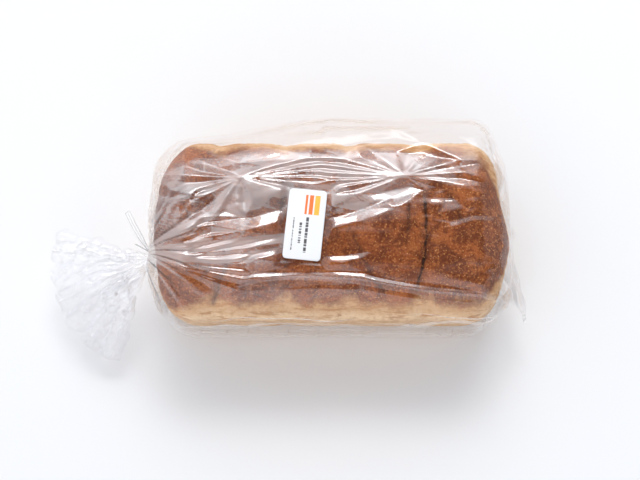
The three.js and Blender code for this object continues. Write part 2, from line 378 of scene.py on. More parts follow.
# %% Inside or outside the bread
CREASE_DEPTH = 3.8
PINCH_DEPTH = 1.5  # each crease also pulls the sides in a little
GROOVE_DEPTH = 1.8  # the sharp bottom of a crease
TEAR_DEPTH = 2.4
TEAR_Y = np.array([-52, -48, -28, -9, 8, 23, 27])  # the long tear wanders along the fourth crease
TEAR_X = np.array([59, 59.7, 64.2, 67.3, 66.4, 65.9, 64])
SHORT_CREASES = [  # where the skin pinched between two pieces of dough
    [(-74, -29), (-79, -42), (-84, -55)],
    [(-29, 28), (-31, 22), (-36, 10)],
    [(15, -7), (21, -23), (27, -36), (36, -48)],
    [(54, 13), (55, 4), (53, -6)],
    [(84, 20), (90, 12), (92, 2)],
]


def grooves(x, y):
    """Depth of the creases: one along each dip, short sharp ones, and a soft one beside the tear."""
    wander = 1.6 * np.sin(y / 11 + 3 * np.sin(y / 23))
    reach = smoothstep(y, -58, -44) * (1 - smoothstep(y, 30, 52))
    depth = 0.0
    for place, share in zip(CREASES, (0.5, 0.6, 0.5, 0.0)):
        depth = depth + GROOVE_DEPTH * share * np.exp(-np.abs(x - place - wander) / 1.6) * reach
    spots = np.stack([x + 0.5 * np.sin(y / 2.3), y], 1)
    for crease in SHORT_CREASES:
        depth = depth + GROOVE_DEPTH * np.exp(-distance_to(crease, spots) / 1.5)
    beside_tear = np.abs(x - np.interp(y, TEAR_Y, TEAR_X))
    depth = depth + 1.3 * np.exp(-beside_tear / 2.6) * smoothstep(y, -54, -40) * (1 - smoothstep(y, 20, 34))
    return depth


def tear(x, y):
    """How deep in the tear a point lies, from 0 outside it to 1 along its middle."""
    middle = np.interp(y, TEAR_Y, TEAR_X) + 0.3 * np.sin(y / 1.9) + 0.4 * np.sin(y / 5.3)
    reach = smoothstep(y, -50, -36) * (1 - smoothstep(y, 14, 22))
    width = (0.2 + 0.42 * reach) * (0.72 + 0.5 * np.sin(y / 3.1) * np.sin(y / 1.3) + 0.2 * np.sin(y / 7))
    return np.exp(-(((x - middle) / np.maximum(width, 0.12)) ** 2)) * reach


def end_swell(x, y):
    """How far each end of the risen top draws in away from its fullest place."""
    right = 6.8 * (1 - np.exp(-(((y + 11) / 24) ** 2)))
    left = 5.0 * (1 - np.exp(-((y / 30) ** 2))) + 4.0 * smoothstep(y, 36, 56)
    return right * smoothstep(x, 60, 122) - left * smoothstep(-x, 60, 122)


def inside_bread(p):
    """Which points lie inside the bread."""
    x, y, z = p.T
    x = x + end_swell(x, y) * smoothstep(z, 30, 84)
    half = HALF_WIDTH - end_inset(x) - PINCH_DEPTH * bells(x, 7)
    narrowing = FOOT_TAPER * np.clip(1 - z / SHOULDER, 0, 1)
    crown = LOAF_HEIGHT - end_inset(x) - CREASE_DEPTH * bells(x, 9)
    top = dome(y, half, crown) - grooves(x, y) - TEAR_DEPTH * tear(x, y)
    from_wall = np.minimum(half - narrowing - np.abs(y), HALF_LENGTH - narrowing * 0.7 - np.abs(x))
    corner = np.hypot(np.clip(FOOT_RADIUS - from_wall, 0, None), np.clip(FOOT_RADIUS - z, 0, None))
    return (from_wall > 0) & (z > 0) & (z < np.where(z > SHOULDER, top, 1e3)) & (corner < FOOT_RADIUS)


# %% A block of cells, pushed out to the crust
CORNER_CELLS = 18
BLOCK = np.array([190, 92, 80])  # cells along, across and up
CORE = np.array([[-97.0, -33.0, 32.0], [97.0, 33.0, 86.0]])


def block_skin(counts):
    """Corners and outward quads of the six sides of a block of cells, by their place in the block."""
    quads = []
    for axis in range(3):
        u, v = (axis + 1) % 3, (axis + 2) % 3
        a, b = np.meshgrid(np.arange(counts[u]), np.arange(counts[v]), indexing="ij")
        a, b = a.ravel(), b.ravel()
        for side in (0, counts[axis]):
            ring = [(a, b), (a + 1, b), (a + 1, b + 1), (a, b + 1)]
            quad = np.full((len(a), 4, 3), side)
            for corner, (p, q) in enumerate(ring if side else ring[::-1]):
                quad[:, corner, u] = p
                quad[:, corner, v] = q
            quads.append(quad)
    corners, index = np.unique(np.concatenate(quads).reshape(-1, 3), axis=0, return_inverse=True)
    return corners, index.reshape(-1, 4)


places, bread_faces = block_skin(BLOCK)
cells_between = BLOCK - 2 * CORNER_CELLS
share = (places - CORNER_CELLS) / cells_between
middle_x = np.linspace(CORE[0, 0], CORE[1, 0], 2000)
crowding = np.cumsum(1 + 1.6 * np.exp(-(((middle_x - 63) / 7) ** 2)))  # finer cells round the tear
start = CORE[0] + np.clip(share, 0, 1) * (CORE[1] - CORE[0])
start[:, 0] = np.interp(np.clip(share[:, 0], 0, 1), (crowding - crowding[0]) / np.ptp(crowding), middle_x)
beyond = np.clip(-share * cells_between, 0, None) - np.clip((share - 1) * cells_between, 0, None)
way = -np.tan(beyond / CORNER_CELLS * math.pi / 4)
way /= np.linalg.norm(way, axis=1, keepdims=True)

HALVINGS = 20
near_by, far_out = np.zeros(len(start)), np.full(len(start), 90.0)
for _ in range(HALVINGS):
    halfway = (near_by + far_out) / 2
    within = inside_bread(start + way * halfway[:, None])
    near_by = np.where(within, halfway, near_by)
    far_out = np.where(within, far_out, halfway)
bread = start + way * near_by[:, None]
print("loaf spans", bread.min(0).round(1), bread.max(0).round(1), "with", len(bread_faces), "quads")

# %% [markdown]
# The crust changes over the loaf. The free dome is brown. Just under it runs a pale torn band, where the
# dough went on rising after the skin had set. Below that are the golden sides that baked against the tin.
# The sizes that the finish will need are stored on the skin: `rise` is the height above the line where the
# brown begins, and `hollow` and `tear` tell how deep in a crease or in the tear a point lies. The line
# isn't level: it climbs at the far right and comes down round both ends.

# %% The loaf as a piece, with what its finish needs
x, y, z = bread.T
x = x + end_swell(x, y)
brown_line = 106.7 - 0.03 * np.abs(y) + 0.8 * smoothstep(-y, 20, 60)
brown_line += 8 * smoothstep(x, 85, 120) * smoothstep(y, 5, 45)
brown_line -= np.where(x > 0, 2 + 6 * smoothstep(y, -48, -25), 15) * smoothstep(np.abs(x), 98, 126)
over_top = smoothstep(z, 90, 100)
loaf = make_piece("loaf_crust", bread, bread_faces, {
    "rise": z - brown_line,
    "hollow": np.clip(grooves(x, y) / GROOVE_DEPTH, 0, 1) * over_top,
    "tear": tear(x, y) * over_top,
})

# %% [markdown]
# A baked skin is never smooth: it shrinks into fine wrinkles as it cools, and small gas blisters stand up
# from it. Along the sides the torn band is drawn into upright strands. All three follow the skin, so a
# Geometry Nodes recipe raises them along the surface normals. Their sizes are the recipe's inputs.

# %% Recipe for the crust's relief
crust_recipe, given, result = new_recipe("crust relief", {
    "Wrinkle height": float, "Wrinkle size": float, "Blister height": float, "Blister size": float,
    "Strand height": float, "Strand size": float, "Finish": bpy.types.Material,
})
tree = crust_recipe
where = node(tree, "GeometryNodeInputPosition").outputs[0]
rise = on_points(tree, "rise")


def over(tree, size, stretch=(1, 1, 1)):
    """The place in units of a size given in metres, stretched along each axis."""
    scaled = vector(tree, "MULTIPLY", where, tuple(1 / s for s in stretch))
    return vector(tree, "SCALE", scaled, Scale=calc(tree, "DIVIDE", 1.0, size))


wrinkle_at = over(tree, given["Wrinkle size"], (0.8, 1.3, 1))
wrinkle = node(tree, "ShaderNodeTexNoise", {"Vector": wrinkle_at, "Scale": 1.0, "Detail": 4.0,
                                            "Roughness": 0.55, "Distortion": 0.4})
folded = calc(tree, "ABSOLUTE", calc(tree, "SUBTRACT", wrinkle.outputs[0], 0.5))
wrinkles = times(tree, calc(tree, "SUBTRACT", folded, 0.12), given["Wrinkle height"])

blister_at = over(tree, given["Blister size"])
bubble = remap(tree, cells(tree, blister_at, 1.0), 0.55, 0.0)
patch = node(tree, "ShaderNodeTexNoise", {"Vector": blister_at, "Scale": 0.16, "Detail": 2.0})
blisters = times(tree, bubble, remap(tree, patch.outputs[0], 0.42, 0.7), given["Blister height"])

strand_at = over(tree, given["Strand size"], (1, 1, 5))
strand = node(tree, "ShaderNodeTexNoise", {"Vector": strand_at, "Scale": 1.0, "Detail": 3.0,
                                           "Roughness": 0.6})
strands = times(tree, calc(tree, "SUBTRACT", strand.outputs[0], 0.5), given["Strand height"])

on_dome = remap(tree, rise, -3.0, 3.0)
above_base = remap(tree, node(tree, "ShaderNodeSeparateXYZ", {0: where}).outputs["Z"], 0.002, 0.02)
top_part = times(tree, plus(tree, wrinkles, blisters), remap(tree, on_dome, 0, 1, 0.35, 1))
torn = times(tree, calc(tree, "SUBTRACT", 1.0, on_dome), remap(tree, rise, -46.0, -24.0, 0.2, 1.0))
height = times(tree, plus(tree, top_part, times(tree, strands, torn)), above_base)
end_recipe(tree, pushed_out(tree, given["Geometry"], height), given["Finish"], result)
print("crust recipe has", len(tree.nodes), "nodes")

# %% [markdown]
# ## The crust's finish
#
# The brown of a crust is uneven: it is darkest on the highest skin and lighter where the skin stretched.
# Bran shows in it as small dark specks. The small light specks are partly bran and partly painted glints of
# the blistered skin. The creases and the tear are darkened with painted shade. The colours are mixed coat
# over coat, each laid over the last by a share that comes from a stored value or from noise of one size, as
# a painter would glaze them. A painted image wrapped round the loaf could do it too, but noise in space has
# no seams and stays sharp from close by.
#
# The skin has a dull shine, which the blisters turn into small glints, so the finest relief is left to a
# bump in the material.

# %% Colours of the crust
crust = bpy.data.materials.new("crust")
crust.use_nodes = True
tree = crust.node_tree
skin = tree.nodes["Principled BSDF"]


def rgb(red, green, blue):
    return (red, green, blue, 1.0)


def blend(tree, share, first, second):
    """The first colour with a share of the second laid over it."""
    return node(tree, "ShaderNodeMix", {0: share, 6: first, 7: second}, data_type="RGBA").outputs[2]


def stored(tree, name):
    """A value stored on the points, for use in a material."""
    return node(tree, "ShaderNodeAttribute", attribute_name=name).outputs["Fac"]


def noise(tree, place, size, detail=3.0, roughness=0.55, distortion=0.0):
    """Noise whose grains are about this many millimetres wide."""
    inputs = {"Vector": place, "Scale": 1000 / size, "Detail": detail, "Roughness": roughness,
              "Distortion": distortion}
    return node(tree, "ShaderNodeTexNoise", inputs).outputs[0]


place = node(tree, "ShaderNodeTexCoord").outputs["Object"]
broad = noise(tree, place, 38, 3)
medium = noise(tree, place, 9, 4, 0.6)
fine = noise(tree, place, 2.2, 3, 0.6)
speck_and_glint = noise(tree, place, 1.3, 2, 0.5)
print("noises mixed into the crust:", sum(made.bl_idname == "ShaderNodeTexNoise" for made in tree.nodes))

# %% The brown dome
along_loaf = node(tree, "ShaderNodeSeparateXYZ", {0: place}).outputs["X"]
darker_end = remap(tree, along_loaf, 0.085, 0.14, 0.0, 0.07)
patches = calc(tree, "SUBTRACT", noise(tree, place, 16, 5, 0.65, 0.6), darker_end)
brown = blend(tree, remap(tree, broad, 0.36, 0.64), rgb(0.235, 0.051, 0.010), rgb(0.43, 0.123, 0.032))
brown = blend(tree, remap(tree, patches, 0.56, 0.40, 0, 0.75), brown, rgb(0.125, 0.027, 0.007))
brown = blend(tree, remap(tree, medium, 0.54, 0.70, 0, 0.6), brown, rgb(0.49, 0.157, 0.045))
brown = blend(tree, remap(tree, fine, 0.55, 0.68, 0, 0.55), brown, rgb(0.52, 0.178, 0.050))
brown = blend(tree, remap(tree, fine, 0.46, 0.36, 0, 0.6), brown, rgb(0.12, 0.028, 0.008))
# Painted highlight: the light specks stand for the glints of the blistered skin as well as for bran.
brown = blend(tree, remap(tree, speck_and_glint, 0.60, 0.70, 0, 0.8), brown, rgb(0.63, 0.26, 0.08))
brown = blend(tree, remap(tree, speck_and_glint, 0.40, 0.30, 0, 0.6), brown, rgb(0.09, 0.022, 0.007))

# %% [markdown]
# The line between dome and sides is ragged, because the skin tore there as the loaf rose. So noise is added
# to `rise` before it decides where the brown ends. The sides are streaked upwards where they slid along the
# tin, and the torn band carries short toasted streaks that run level.

# %% The pale sides and the torn band
ragged = plus(tree, stored(tree, "rise"), times(tree, calc(tree, "SUBTRACT", medium, 0.5), 12.0))
ragged = plus(tree, ragged, times(tree, calc(tree, "SUBTRACT", fine, 0.5), 6.0))
tall = node(tree, "ShaderNodeMapping", {"Vector": place, "Scale": (1, 1, 0.2)}).outputs[0]
streak = noise(tree, tall, 4.0, 4, 0.6)
pale = blend(tree, remap(tree, streak, 0.26, 0.5), rgb(0.66, 0.375, 0.165), rgb(0.88, 0.61, 0.35))
golden = blend(tree, remap(tree, streak, 0.35, 0.65), rgb(0.60, 0.33, 0.13), rgb(0.76, 0.49, 0.24))
side = blend(tree, remap(tree, stored(tree, "rise"), -34.0, -12.0), golden, pale)
level = node(tree, "ShaderNodeMapping", {"Vector": place, "Scale": (0.14, 1, 0.4)}).outputs[0]
toasted = remap(tree, noise(tree, level, 3.2, 4, 0.65, 0.4), 0.52, 0.58, 0, 0.85)
in_band = remap(tree, stored(tree, "rise"), -52.0, -32.0, 0.12, 1.0)
side = blend(tree, times(tree, toasted, in_band), side, rgb(0.50, 0.22, 0.066))
side = blend(tree, remap(tree, ragged, -13.0, -1.0, 0, 0.8), side, rgb(0.60, 0.285, 0.095))

# %% Dome over sides, with painted shade in the creases and the tear
colour = blend(tree, remap(tree, ragged, -3.0, 2.0), side, brown)
# Painted shade: each crease is darkened by how deep it is.
crease_shade = remap(tree, stored(tree, "hollow"), 0.15, 1.0, 0, 0.85)
colour = blend(tree, crease_shade, colour, rgb(0.085, 0.024, 0.008))
# Painted shade: the tear is drawn near black by how deep it is.
colour = blend(tree, remap(tree, stored(tree, "tear"), 0.2, 0.9), colour, rgb(0.05, 0.016, 0.006))
tree.links.new(colour, skin.inputs["Base Color"])
print("crust finish has", len(tree.nodes), "nodes")

# %% Fine relief and shine of the crust
grain = cells(tree, place, 620.0, "SMOOTH_F1")
relief = plus(tree, times(tree, fine, 0.7), times(tree, grain, 0.5))
bump = node(tree, "ShaderNodeBump", {"Height": relief, "Strength": 1.0, "Distance": 0.0009})
tree.links.new(bump.outputs[0], skin.inputs["Normal"])
tree.links.new(remap(tree, broad, 0.3, 0.7, 0.36, 0.55), skin.inputs["Roughness"])
skin.inputs["Specular IOR Level"].default_value = 0.10

use_recipe(loaf, crust_recipe, wrinkle_height=0.0050, wrinkle_size=0.013, blister_height=0.0007,
           blister_size=0.0032, strand_height=0.0022, strand_size=0.0035, finish=crust)

# %% [markdown]
# ## The film bag
#
# A bread bag is a tube of film sealed straight across at one end. The loaf slides in, the free end is
# gathered, tied and left to fan out. One closed skin can be all of that: rings of points run from the
# straight seal, over the loaf, into the gathered neck and out into the fan. The ring has four times as many
# points over the loaf as under it, because that is where the creases are seen.

# %% Rings round the loaf
UNDER, OVER = 64, 256
RING = UNDER + OVER
TURN = np.concatenate([np.arange(UNDER) / UNDER, 1 + np.arange(OVER) / OVER]) * math.pi
FAR_FIN = 15.0  # slack pressed flat into a fin on the far side
NEAR_SKIRT = 8.0
SEAL_NEAR, SEAL_FAR = np.array([146.0, -60, 34]), np.array([122.0, 80, 64])
NECK_PLACE, NECK_RADIUS, NECK_LENGTH = np.array([-131.0, -18, 57]), 6.5, 7.0


def film_sides(x):
    """Half widths of the film at the shoulder, on the far side and on the near side."""
    near = HALF_WIDTH + FILM_EASE - end_inset(x)
    fin = smoothstep(x, -0.46 * LOAF_LENGTH, 0) * (1 - smoothstep(x, 0.44 * LOAF_LENGTH, 0.49 * LOAF_LENGTH))
    return near + FAR_FIN * fin, near


def film_top(x, y):
    """Height of the film over the loaf."""
    far, near = film_sides(x)
    crown = LOAF_HEIGHT + FILM_EASE - end_inset(x) - 0.6 * bells(x, 12)  # it bridges the loaf's creases
    return dome(y, np.where(y > 0, far, near), crown)


def round_corner(first, corner, last):
    """Nine points that turn round a corner."""
    t = np.linspace(0, 1, 9)[:, None]
    return (1 - t) ** 2 * first + 2 * t * (1 - t) * corner + t**2 * last


def body_ring(x):
    """A ring at x, from the far shoulder under the base to the near shoulder and back over the dome."""
    far, near = (float(side) for side in film_sides(x))
    far_foot, near_foot = near - FOOT_TAPER, near - FOOT_TAPER + NEAR_SKIRT
    round_far = round_corner([far_foot, FOOT_RADIUS], [far_foot, 0], [far_foot - FOOT_RADIUS, 0])
    round_near = round_corner([FOOT_RADIUS - near_foot, 0], [-near_foot, 0], [-near_foot, FOOT_RADIUS])
    lower = np.vstack([[far, SHOULDER], round_far, round_near, [-near, SHOULDER]])
    lean = -np.cos(np.linspace(0, math.pi, 400))
    y = np.sign(lean) * np.abs(lean) ** DOME_POWER * np.where(lean > 0, far, near)
    upper = np.stack([y, film_top(np.full(400, x), y)], 1)
    ring = np.vstack([even_points(lower, UNDER + 1)[:-1], even_points(upper, OVER + 1)[:-1]])
    return np.column_stack([np.full(RING, x), ring])


# %% Rings of the body, from the right end to the left
BODY_RINGS, END_RINGS = 146, 22
quarter = np.linspace(0, math.pi / 2, END_RINGS, endpoint=False)
body_places = np.concatenate([
    STRAIGHT_HALF + END_RADIUS * np.cos(quarter),
    np.linspace(STRAIGHT_HALF, -STRAIGHT_HALF, BODY_RINGS),
    -STRAIGHT_HALF - END_RADIUS * np.sin(quarter[1:]),
    [-HALF_LENGTH],
])
body = np.array([body_ring(x) for x in body_places])
print("body of", len(body), "rings")

# %% [markdown]
# The seal at the right end is a straight weld. Its two ends are the bag's corners, and they stand out as
# ears. At the left end every ring shrinks towards the neck, and pleats grow and vanish on the way. Past the
# tie each ring opens into an arc, which makes the fan.

# %% The sealed end
SEAL_RINGS, SEAL_HALF_THICKNESS = 22, 0.5
along_seam = (1 + np.cos(TURN)) / 2
seam = SEAL_NEAR + (SEAL_FAR - SEAL_NEAR) * along_seam[:, None]
seam[:, 0] += 1.6 * np.sin(17 * along_seam) + 1.0 * np.sin(41 * along_seam + 1)
seam[:, 2] += 2.6 * np.sin(13 * along_seam + 2) + 1.2 * np.sin(33 * along_seam)
seam[:, 2] -= SEAL_HALF_THICKNESS * np.sin(TURN)
sealed = []
for share in np.linspace(0, 1, SEAL_RINGS, endpoint=False):
    ring = seam + (body[0] - seam) * share
    ring[:, 0] = seam[:, 0] + (body[0][:, 0] - seam[:, 0]) * share**1.5
    sealed.append(ring)
print("sealed end of", len(sealed), "rings")

# %% The gathered end and the neck
GATHER_RINGS, NECK_RINGS = 34, 4


def neck_ring(x):
    """A slightly waved circle round the neck at x."""
    wave = 1 + 0.05 * np.sin(9 * TURN)
    return np.column_stack([np.full(RING, x), NECK_PLACE[1] + NECK_RADIUS * wave * np.cos(TURN),
                            NECK_PLACE[2] - NECK_RADIUS * wave * np.sin(TURN)])


neck = neck_ring(NECK_PLACE[0])
gathered = []
for share in np.arange(1, GATHER_RINGS) / GATHER_RINGS:
    ring = body[-1] + (neck - body[-1]) * share
    deep = np.sin(math.pi * share)
    folds = 3.0 * np.sin(5 * TURN) ** 2 + 1.6 * np.sin(11 * TURN + 2 * np.sin(3 * TURN))
    ring[:, 0] = body[-1][:, 0] + (NECK_PLACE[0] - body[-1][:, 0]) * share**2.2 - folds * deep
    gathered.append(ring)
held = [neck_ring(NECK_PLACE[0] - NECK_LENGTH * share) for share in np.linspace(0, 1, NECK_RINGS)]

# %% The fan beyond the tie
TAIL_RINGS, TAIL_LENGTH, BUNDLE_LENGTH = 58, 72.0, 24.0
DROOP_NEAR, DROOP_FAR = 44, 16
FAN_MIDDLE, FAN_HALF_ANGLE = math.radians(204), math.radians(44)
across = np.cos(TURN)
heading = FAN_MIDDLE - across * FAN_HALF_ANGLE
fanned = []
for share in np.arange(1, TAIL_RINGS + 1) / TAIL_RINGS:
    flat = smoothstep(TAIL_LENGTH * share, 0, BUNDLE_LENGTH)
    edge = 1 + 0.05 * np.sin(7 * across + 1) + 0.03 * np.sin(19 * across)
    reach = TAIL_LENGTH * share * (1 - share * (1 - np.minimum(edge, 1.0)))
    droop = (DROOP_NEAR + (DROOP_FAR - DROOP_NEAR) * (1 + across) / 2) * share**2
    pleats = 4.2 * share * np.sin(math.pi * 6 * across) + 1.1 * share * np.sin(17 * across + 1)
    thick = (NECK_RADIUS + (1.2 - NECK_RADIUS) * flat) * np.sin(TURN)
    x = NECK_PLACE[0] - NECK_LENGTH + reach * np.cos(heading)
    y = NECK_PLACE[1] + reach * np.sin(heading) + NECK_RADIUS * across * (1 - flat)
    fanned.append(np.column_stack([x, y, NECK_PLACE[2] - droop + pleats - thick]))
print("gathered end of", len(gathered), "rings, neck of", len(held), "and fan of", len(fanned))

# %% Sort the rings into one skin
rings = np.array(sealed + list(body) + gathered + held + fanned)
SEAL_END = len(sealed)
BODY_END = SEAL_END + len(body)
GATHER_END = BODY_END + len(gathered)
NECK_END = GATHER_END + len(held)


def slit_faces(start, looks_back):
    """Faces that close a flat ring, whose upper half has several points for each one of its lower half."""
    faces, each = [], OVER // UNDER
    for i in range(UNDER):
        above = [start + (RING - each * i - step) % RING for step in range(each + 1)]
        faces += [(start + i, above[step + 1], above[step]) for step in range(each)]
        faces.append((start + i, start + i + 1, above[-1]))
    faces = [face for face in faces if len(set(face)) == 3]
    return [face[::-1] for face in faces] if looks_back else faces


skin_faces = [tuple(face) for face in tube_faces(len(rings), RING)]
skin_faces += slit_faces(0, True) + slit_faces((len(rings) - 1) * RING, False)
print("bag of", len(rings), "rings and", len(skin_faces), "faces")

# %% [markdown]
# ## Folds
#
# Thin film hardly stretches, so it takes up slack in straight folds with flat facets between them, and that
# is what makes it look like film. The folds are laid out on the bag's unrolled top like the creases of
# folded paper: a few long ridges run from star points and from the neck, and small shallow points are
# scattered between them. A Delaunay triangulation joins them all into facets, with every ridge kept as an
# edge. Each point of the skin is then raised by the height of the facet over it.

# %% The long folds, as (along, across, height) in millimetres
FOLDS = [
    [(-64, 35, 3.4), (-90, 48, 2.0), (-104, 60, 1.0)],
    [(38, 74, 2.0), (64, 57, 2.8), (92, 44, 1.4)],
    [(-3, -7, 1.4), (20, -1, 2.4), (45, 9, 3.2), (62, 21, 1.4)],
    [(-3, 1, 0.2), (20, 7, 0.3), (43, 16, 0.5), (56, 25, 0.6)],
    [(6, 1, 0.9), (26, 8, 1.3), (41, 15, 1.5)],
    [(-95, -6, 1.0), (-62, -4, 2.4), (-34, 1, 1.6)],
    [(-92, 2, 0.2), (-60, 6, 0.3), (-36, 9, 0.2)],
    [(-52, -24, 2.6), (-34, -21, 1.6)],
    [(-72, -25, 0.6), (-52, -20, 0.5), (-36, -17, 0.3)],
    [(-6, -31, 1.8), (8, -30, 2.4), (21, -26, 1.2)],
    [(-6, -25, 0.2), (10, -24, 0.2)],
    [(-60, -37, 2.3), (-8, -38, 1.7), (20, -39, 2.4), (68, -47, 2.2), (113, -51, 1.2)],
    [(-60, -41, 1.2), (20, -43, 1.3), (68, -50, 1.2)],
    [(-60, -45, 2.0), (20, -47, 2.2), (68, -54, 2.0), (108, -57, 1.0)],
    [(-54, -33.4, 0.4), (-8, -34.6, 0.4), (22, -35.4, 0.4), (66, -43, 0.4)],
    [(-27, -55, 1.2), (-1, -56, 2.2), (24, -59, 1.0)],
    [(103, -47, 1.4), (110, -37, 2.6), (116, -27, 1.6)],
    [(100, -40, 0.3), (107, -29, 0.3)],
    [(84, -3, 0.5), (104, 3, 1.0), (118, 2, 0.6)],
]
# Folds that spread from one point: the point, its height, and the far ends of its ridges with their height.
FANS = [
    ((-64, 35), 3.4, 1.8, [(-16, 46), (-6, 41), (-8, 36), (-12, 31), (-14, 26), (-22, 20)]),
    ((50, 32), 3.2, 1.8, [(30, 50), (10, 45), (2, 40), (-4, 35), (2, 29), (8, 24), (20, 20)]),
    ((50, 32), 3.2, 1.2, [(66, 22), (86, 27), (92, 35), (88, 44), (64, 50), (46, 50)]),
    ((-64, 35), 3.4, 2.0, [(-78, 44), (-104, 40), (-98, 28), (-100, 18), (-82, 8), (-66, 16), (-56, 18)]),
    ((-126, -19), 3.0, 1.8, [(-112, 24), (-101, 15), (-90, 8), (-84, 2), (-80, -7), (-66, -11), (-60, -16),
                             (-66, -22), (-58, -27), (-62, -32), (-60, -37), (-66, -43), (-84, -50),
                             (-106, -54)]),
    ((-98, 24), 3.0, 0.6, [(-112, 30), (-116, 20), (-106, 12), (-92, 14), (-84, 22), (-90, 34)]),
    ((126, -52), 2.4, 1.0, [(96, -62), (90, -52), (98, -42), (112, -30), (122, -24)]),
]


def fan_folds(centre, height, end_height, ends):
    """The ridges of a fan, and the valleys between them."""
    lines = [[(*centre, height), (*end, end_height)] for end in ends]
    for one, two in zip(ends, ends[1:]):
        middle = [(a + b) / 2 for a, b in zip(one, two)]
        root = [c + 0.22 * (m - c) for c, m in zip(centre, middle)]
        lines.append([(*root, height * 0.45), (*middle, 0.2)])
    return lines


for fan in FANS:
    FOLDS += fan_folds(*fan)

# Long level folds down the near and far sides, by their distance round the film from the crown.
LEVEL_FOLDS = [
    (-84, 2.6), (-89, 0.4), (-95, 2.2), (-101, 0.4), (-110, 2.6), (-118, 0.6), (-128, 2.4), (-136, 0.4),
    (-144, 2.2), (-152, 0.6), (86, 2.0), (92, 0.5), (100, 2.4), (110, 0.5),
]
for level, high in LEVEL_FOLDS:
    winding = [(along, level + 2.5 * math.sin(along / 19 + level)) for along in range(-110, 111, 20)]
    FOLDS.append([(*spot, high) for spot in winding])
LONG_WAY = 2.3  # facets are this many times longer along the bag than across it
print(len(FOLDS), "long folds and valleys")

# %% [markdown]
# To lay folds out flat we need to know where each point of the skin would lie on the unrolled film: how far
# along the bag, and how far round its ring from the crown. Walking round a ring and adding up its steps
# gives the second of these, positive on the far side and negative on the near one.

# %% Unroll the body
steps = np.linalg.norm(np.roll(rings, -1, 1) - rings, axis=2)
reach = np.concatenate([np.zeros((len(rings), 1)), np.cumsum(steps, 1)[:, :-1]], 1)
crown_point = UNDER + OVER // 2
whole = steps.sum(1, keepdims=True)
round_way = (reach - reach[:, crown_point:crown_point + 1] + whole / 2) % whole - whole / 2
TOP_Y, TOP_WAY = 83, 92  # the edges of the top, across the loaf and round the film
waist = SEAL_END + len(body) // 2
order = np.argsort(round_way[waist])
order = order[np.abs(round_way[waist][order]) < TOP_WAY]
waist_y, waist_way = rings[waist][order, 1], round_way[waist][order]
print("film measures", whole[waist].round(1), "mm round its waist")


def unrolled(y):
    """Distance round the film from the crown to the point of its top at y. Past the top it is y itself."""
    return float(y) if abs(y) > TOP_Y else float(np.interp(y, waist_y, waist_way))


# %% Facets between the folds
def softened(field, times):
    """Each value mixed with its neighbours along and round the bag."""
    for _ in range(times):
        field = (np.roll(field, 1, 1) + 2 * field + np.roll(field, -1, 1)) / 4
        field[1:-1] = (field[:-2] + 2 * field[1:-1] + field[2:]) / 4
    return field


def facets_between(folds, step, height, seed, places):
    """How much each unrolled place is raised by the facets between folds, and how milky its facet is, with a
    painted highlight line along the facet's edges.
    """
    rng = np.random.default_rng(seed)
    plan, tall, edges = [], [], []
    for fold in folds:
        for number, (along, aside, high) in enumerate(fold):
            spot = (along / LONG_WAY, unrolled(aside))
            found = [i for i, known in enumerate(plan) if math.dist(known, spot) < 1.0]
            here = found[0] if found else len(plan)
            if not found:
                plan.append(spot)
                tall.append(high)
            if number:
                edges.append((before, here))
            before = here
    placed = np.array(plan).reshape(-1, 2)
    first, last = places.reshape(-1, 2).min(0) - step, places.reshape(-1, 2).max(0) + step
    for along in np.arange(first[0], last[0], step):
        for round_at in np.arange(first[1], last[1], step):
            spot = np.array([along, round_at]) + rng.uniform(-0.42, 0.42, 2) * step
            if not len(placed) or np.hypot(*(placed - spot).T).min() > step * 0.5:
                plan.append(tuple(spot))
                tall.append(height * rng.random() ** 1.5)

    corners, _, facets, sources, _, _ = delaunay_2d_cdt([Vector(spot) for spot in plan], edges, [], 0, 1e-6)
    corners = np.array([tuple(spot) for spot in corners])
    tall = np.array([tall[known[0]] if known else 2.2 for known in sources])
    lift, haze_and_edge_highlight = np.zeros(places.shape[:2]), np.zeros(places.shape[:2])
    row_low, row_high = places[:, :, 0].min(1), places[:, :, 0].max(1)
    # Each facet's random milkiness also paints the pale reflection that a tilted facet shows.
    for facet, milky_and_mirrored_facet in zip(facets, rng.random(len(facets)) ** 1.4):
        a, b, c = corners[list(facet)]
        sides = np.array([b - a, c - a]).T
        if abs(np.linalg.det(sides)) < 1e-6:
            continue
        low, high = np.min([a, b, c], 0) - 0.1, np.max([a, b, c], 0) + 0.1
        rows = np.flatnonzero((row_high >= low[0]) & (row_low <= high[0]))
        near = np.argwhere(np.all((places[rows] >= low) & (places[rows] <= high), 2))
        near[:, 0] = rows[near[:, 0]] if len(rows) else 0
        v, w = np.linalg.solve(sides, (places[near[:, 0], near[:, 1]] - a).T)
        hit = (v >= -1e-6) & (w >= -1e-6) & (v + w <= 1 + 1e-6)
        chosen = near[hit]
        h0, h1, h2 = tall[list(facet)]
        lift[chosen[:, 0], chosen[:, 1]] = (h0 + v * (h1 - h0) + w * (h2 - h0))[hit]
        # Painted highlight: a thin bright line along the edges of milky facets, where a fold would catch the
        # light.
        painted_edge_highlight = np.minimum(np.minimum(v, w), 1 - v - w)[hit] < 0.05
        haze_and_edge_highlight[chosen[:, 0], chosen[:, 1]] = milky_and_mirrored_facet + 0.7 * milky_and_mirrored_facet * painted_edge_highlight
    print(len(facets), "facets, highest", lift.max().round(1))
    return lift, haze_and_edge_highlight


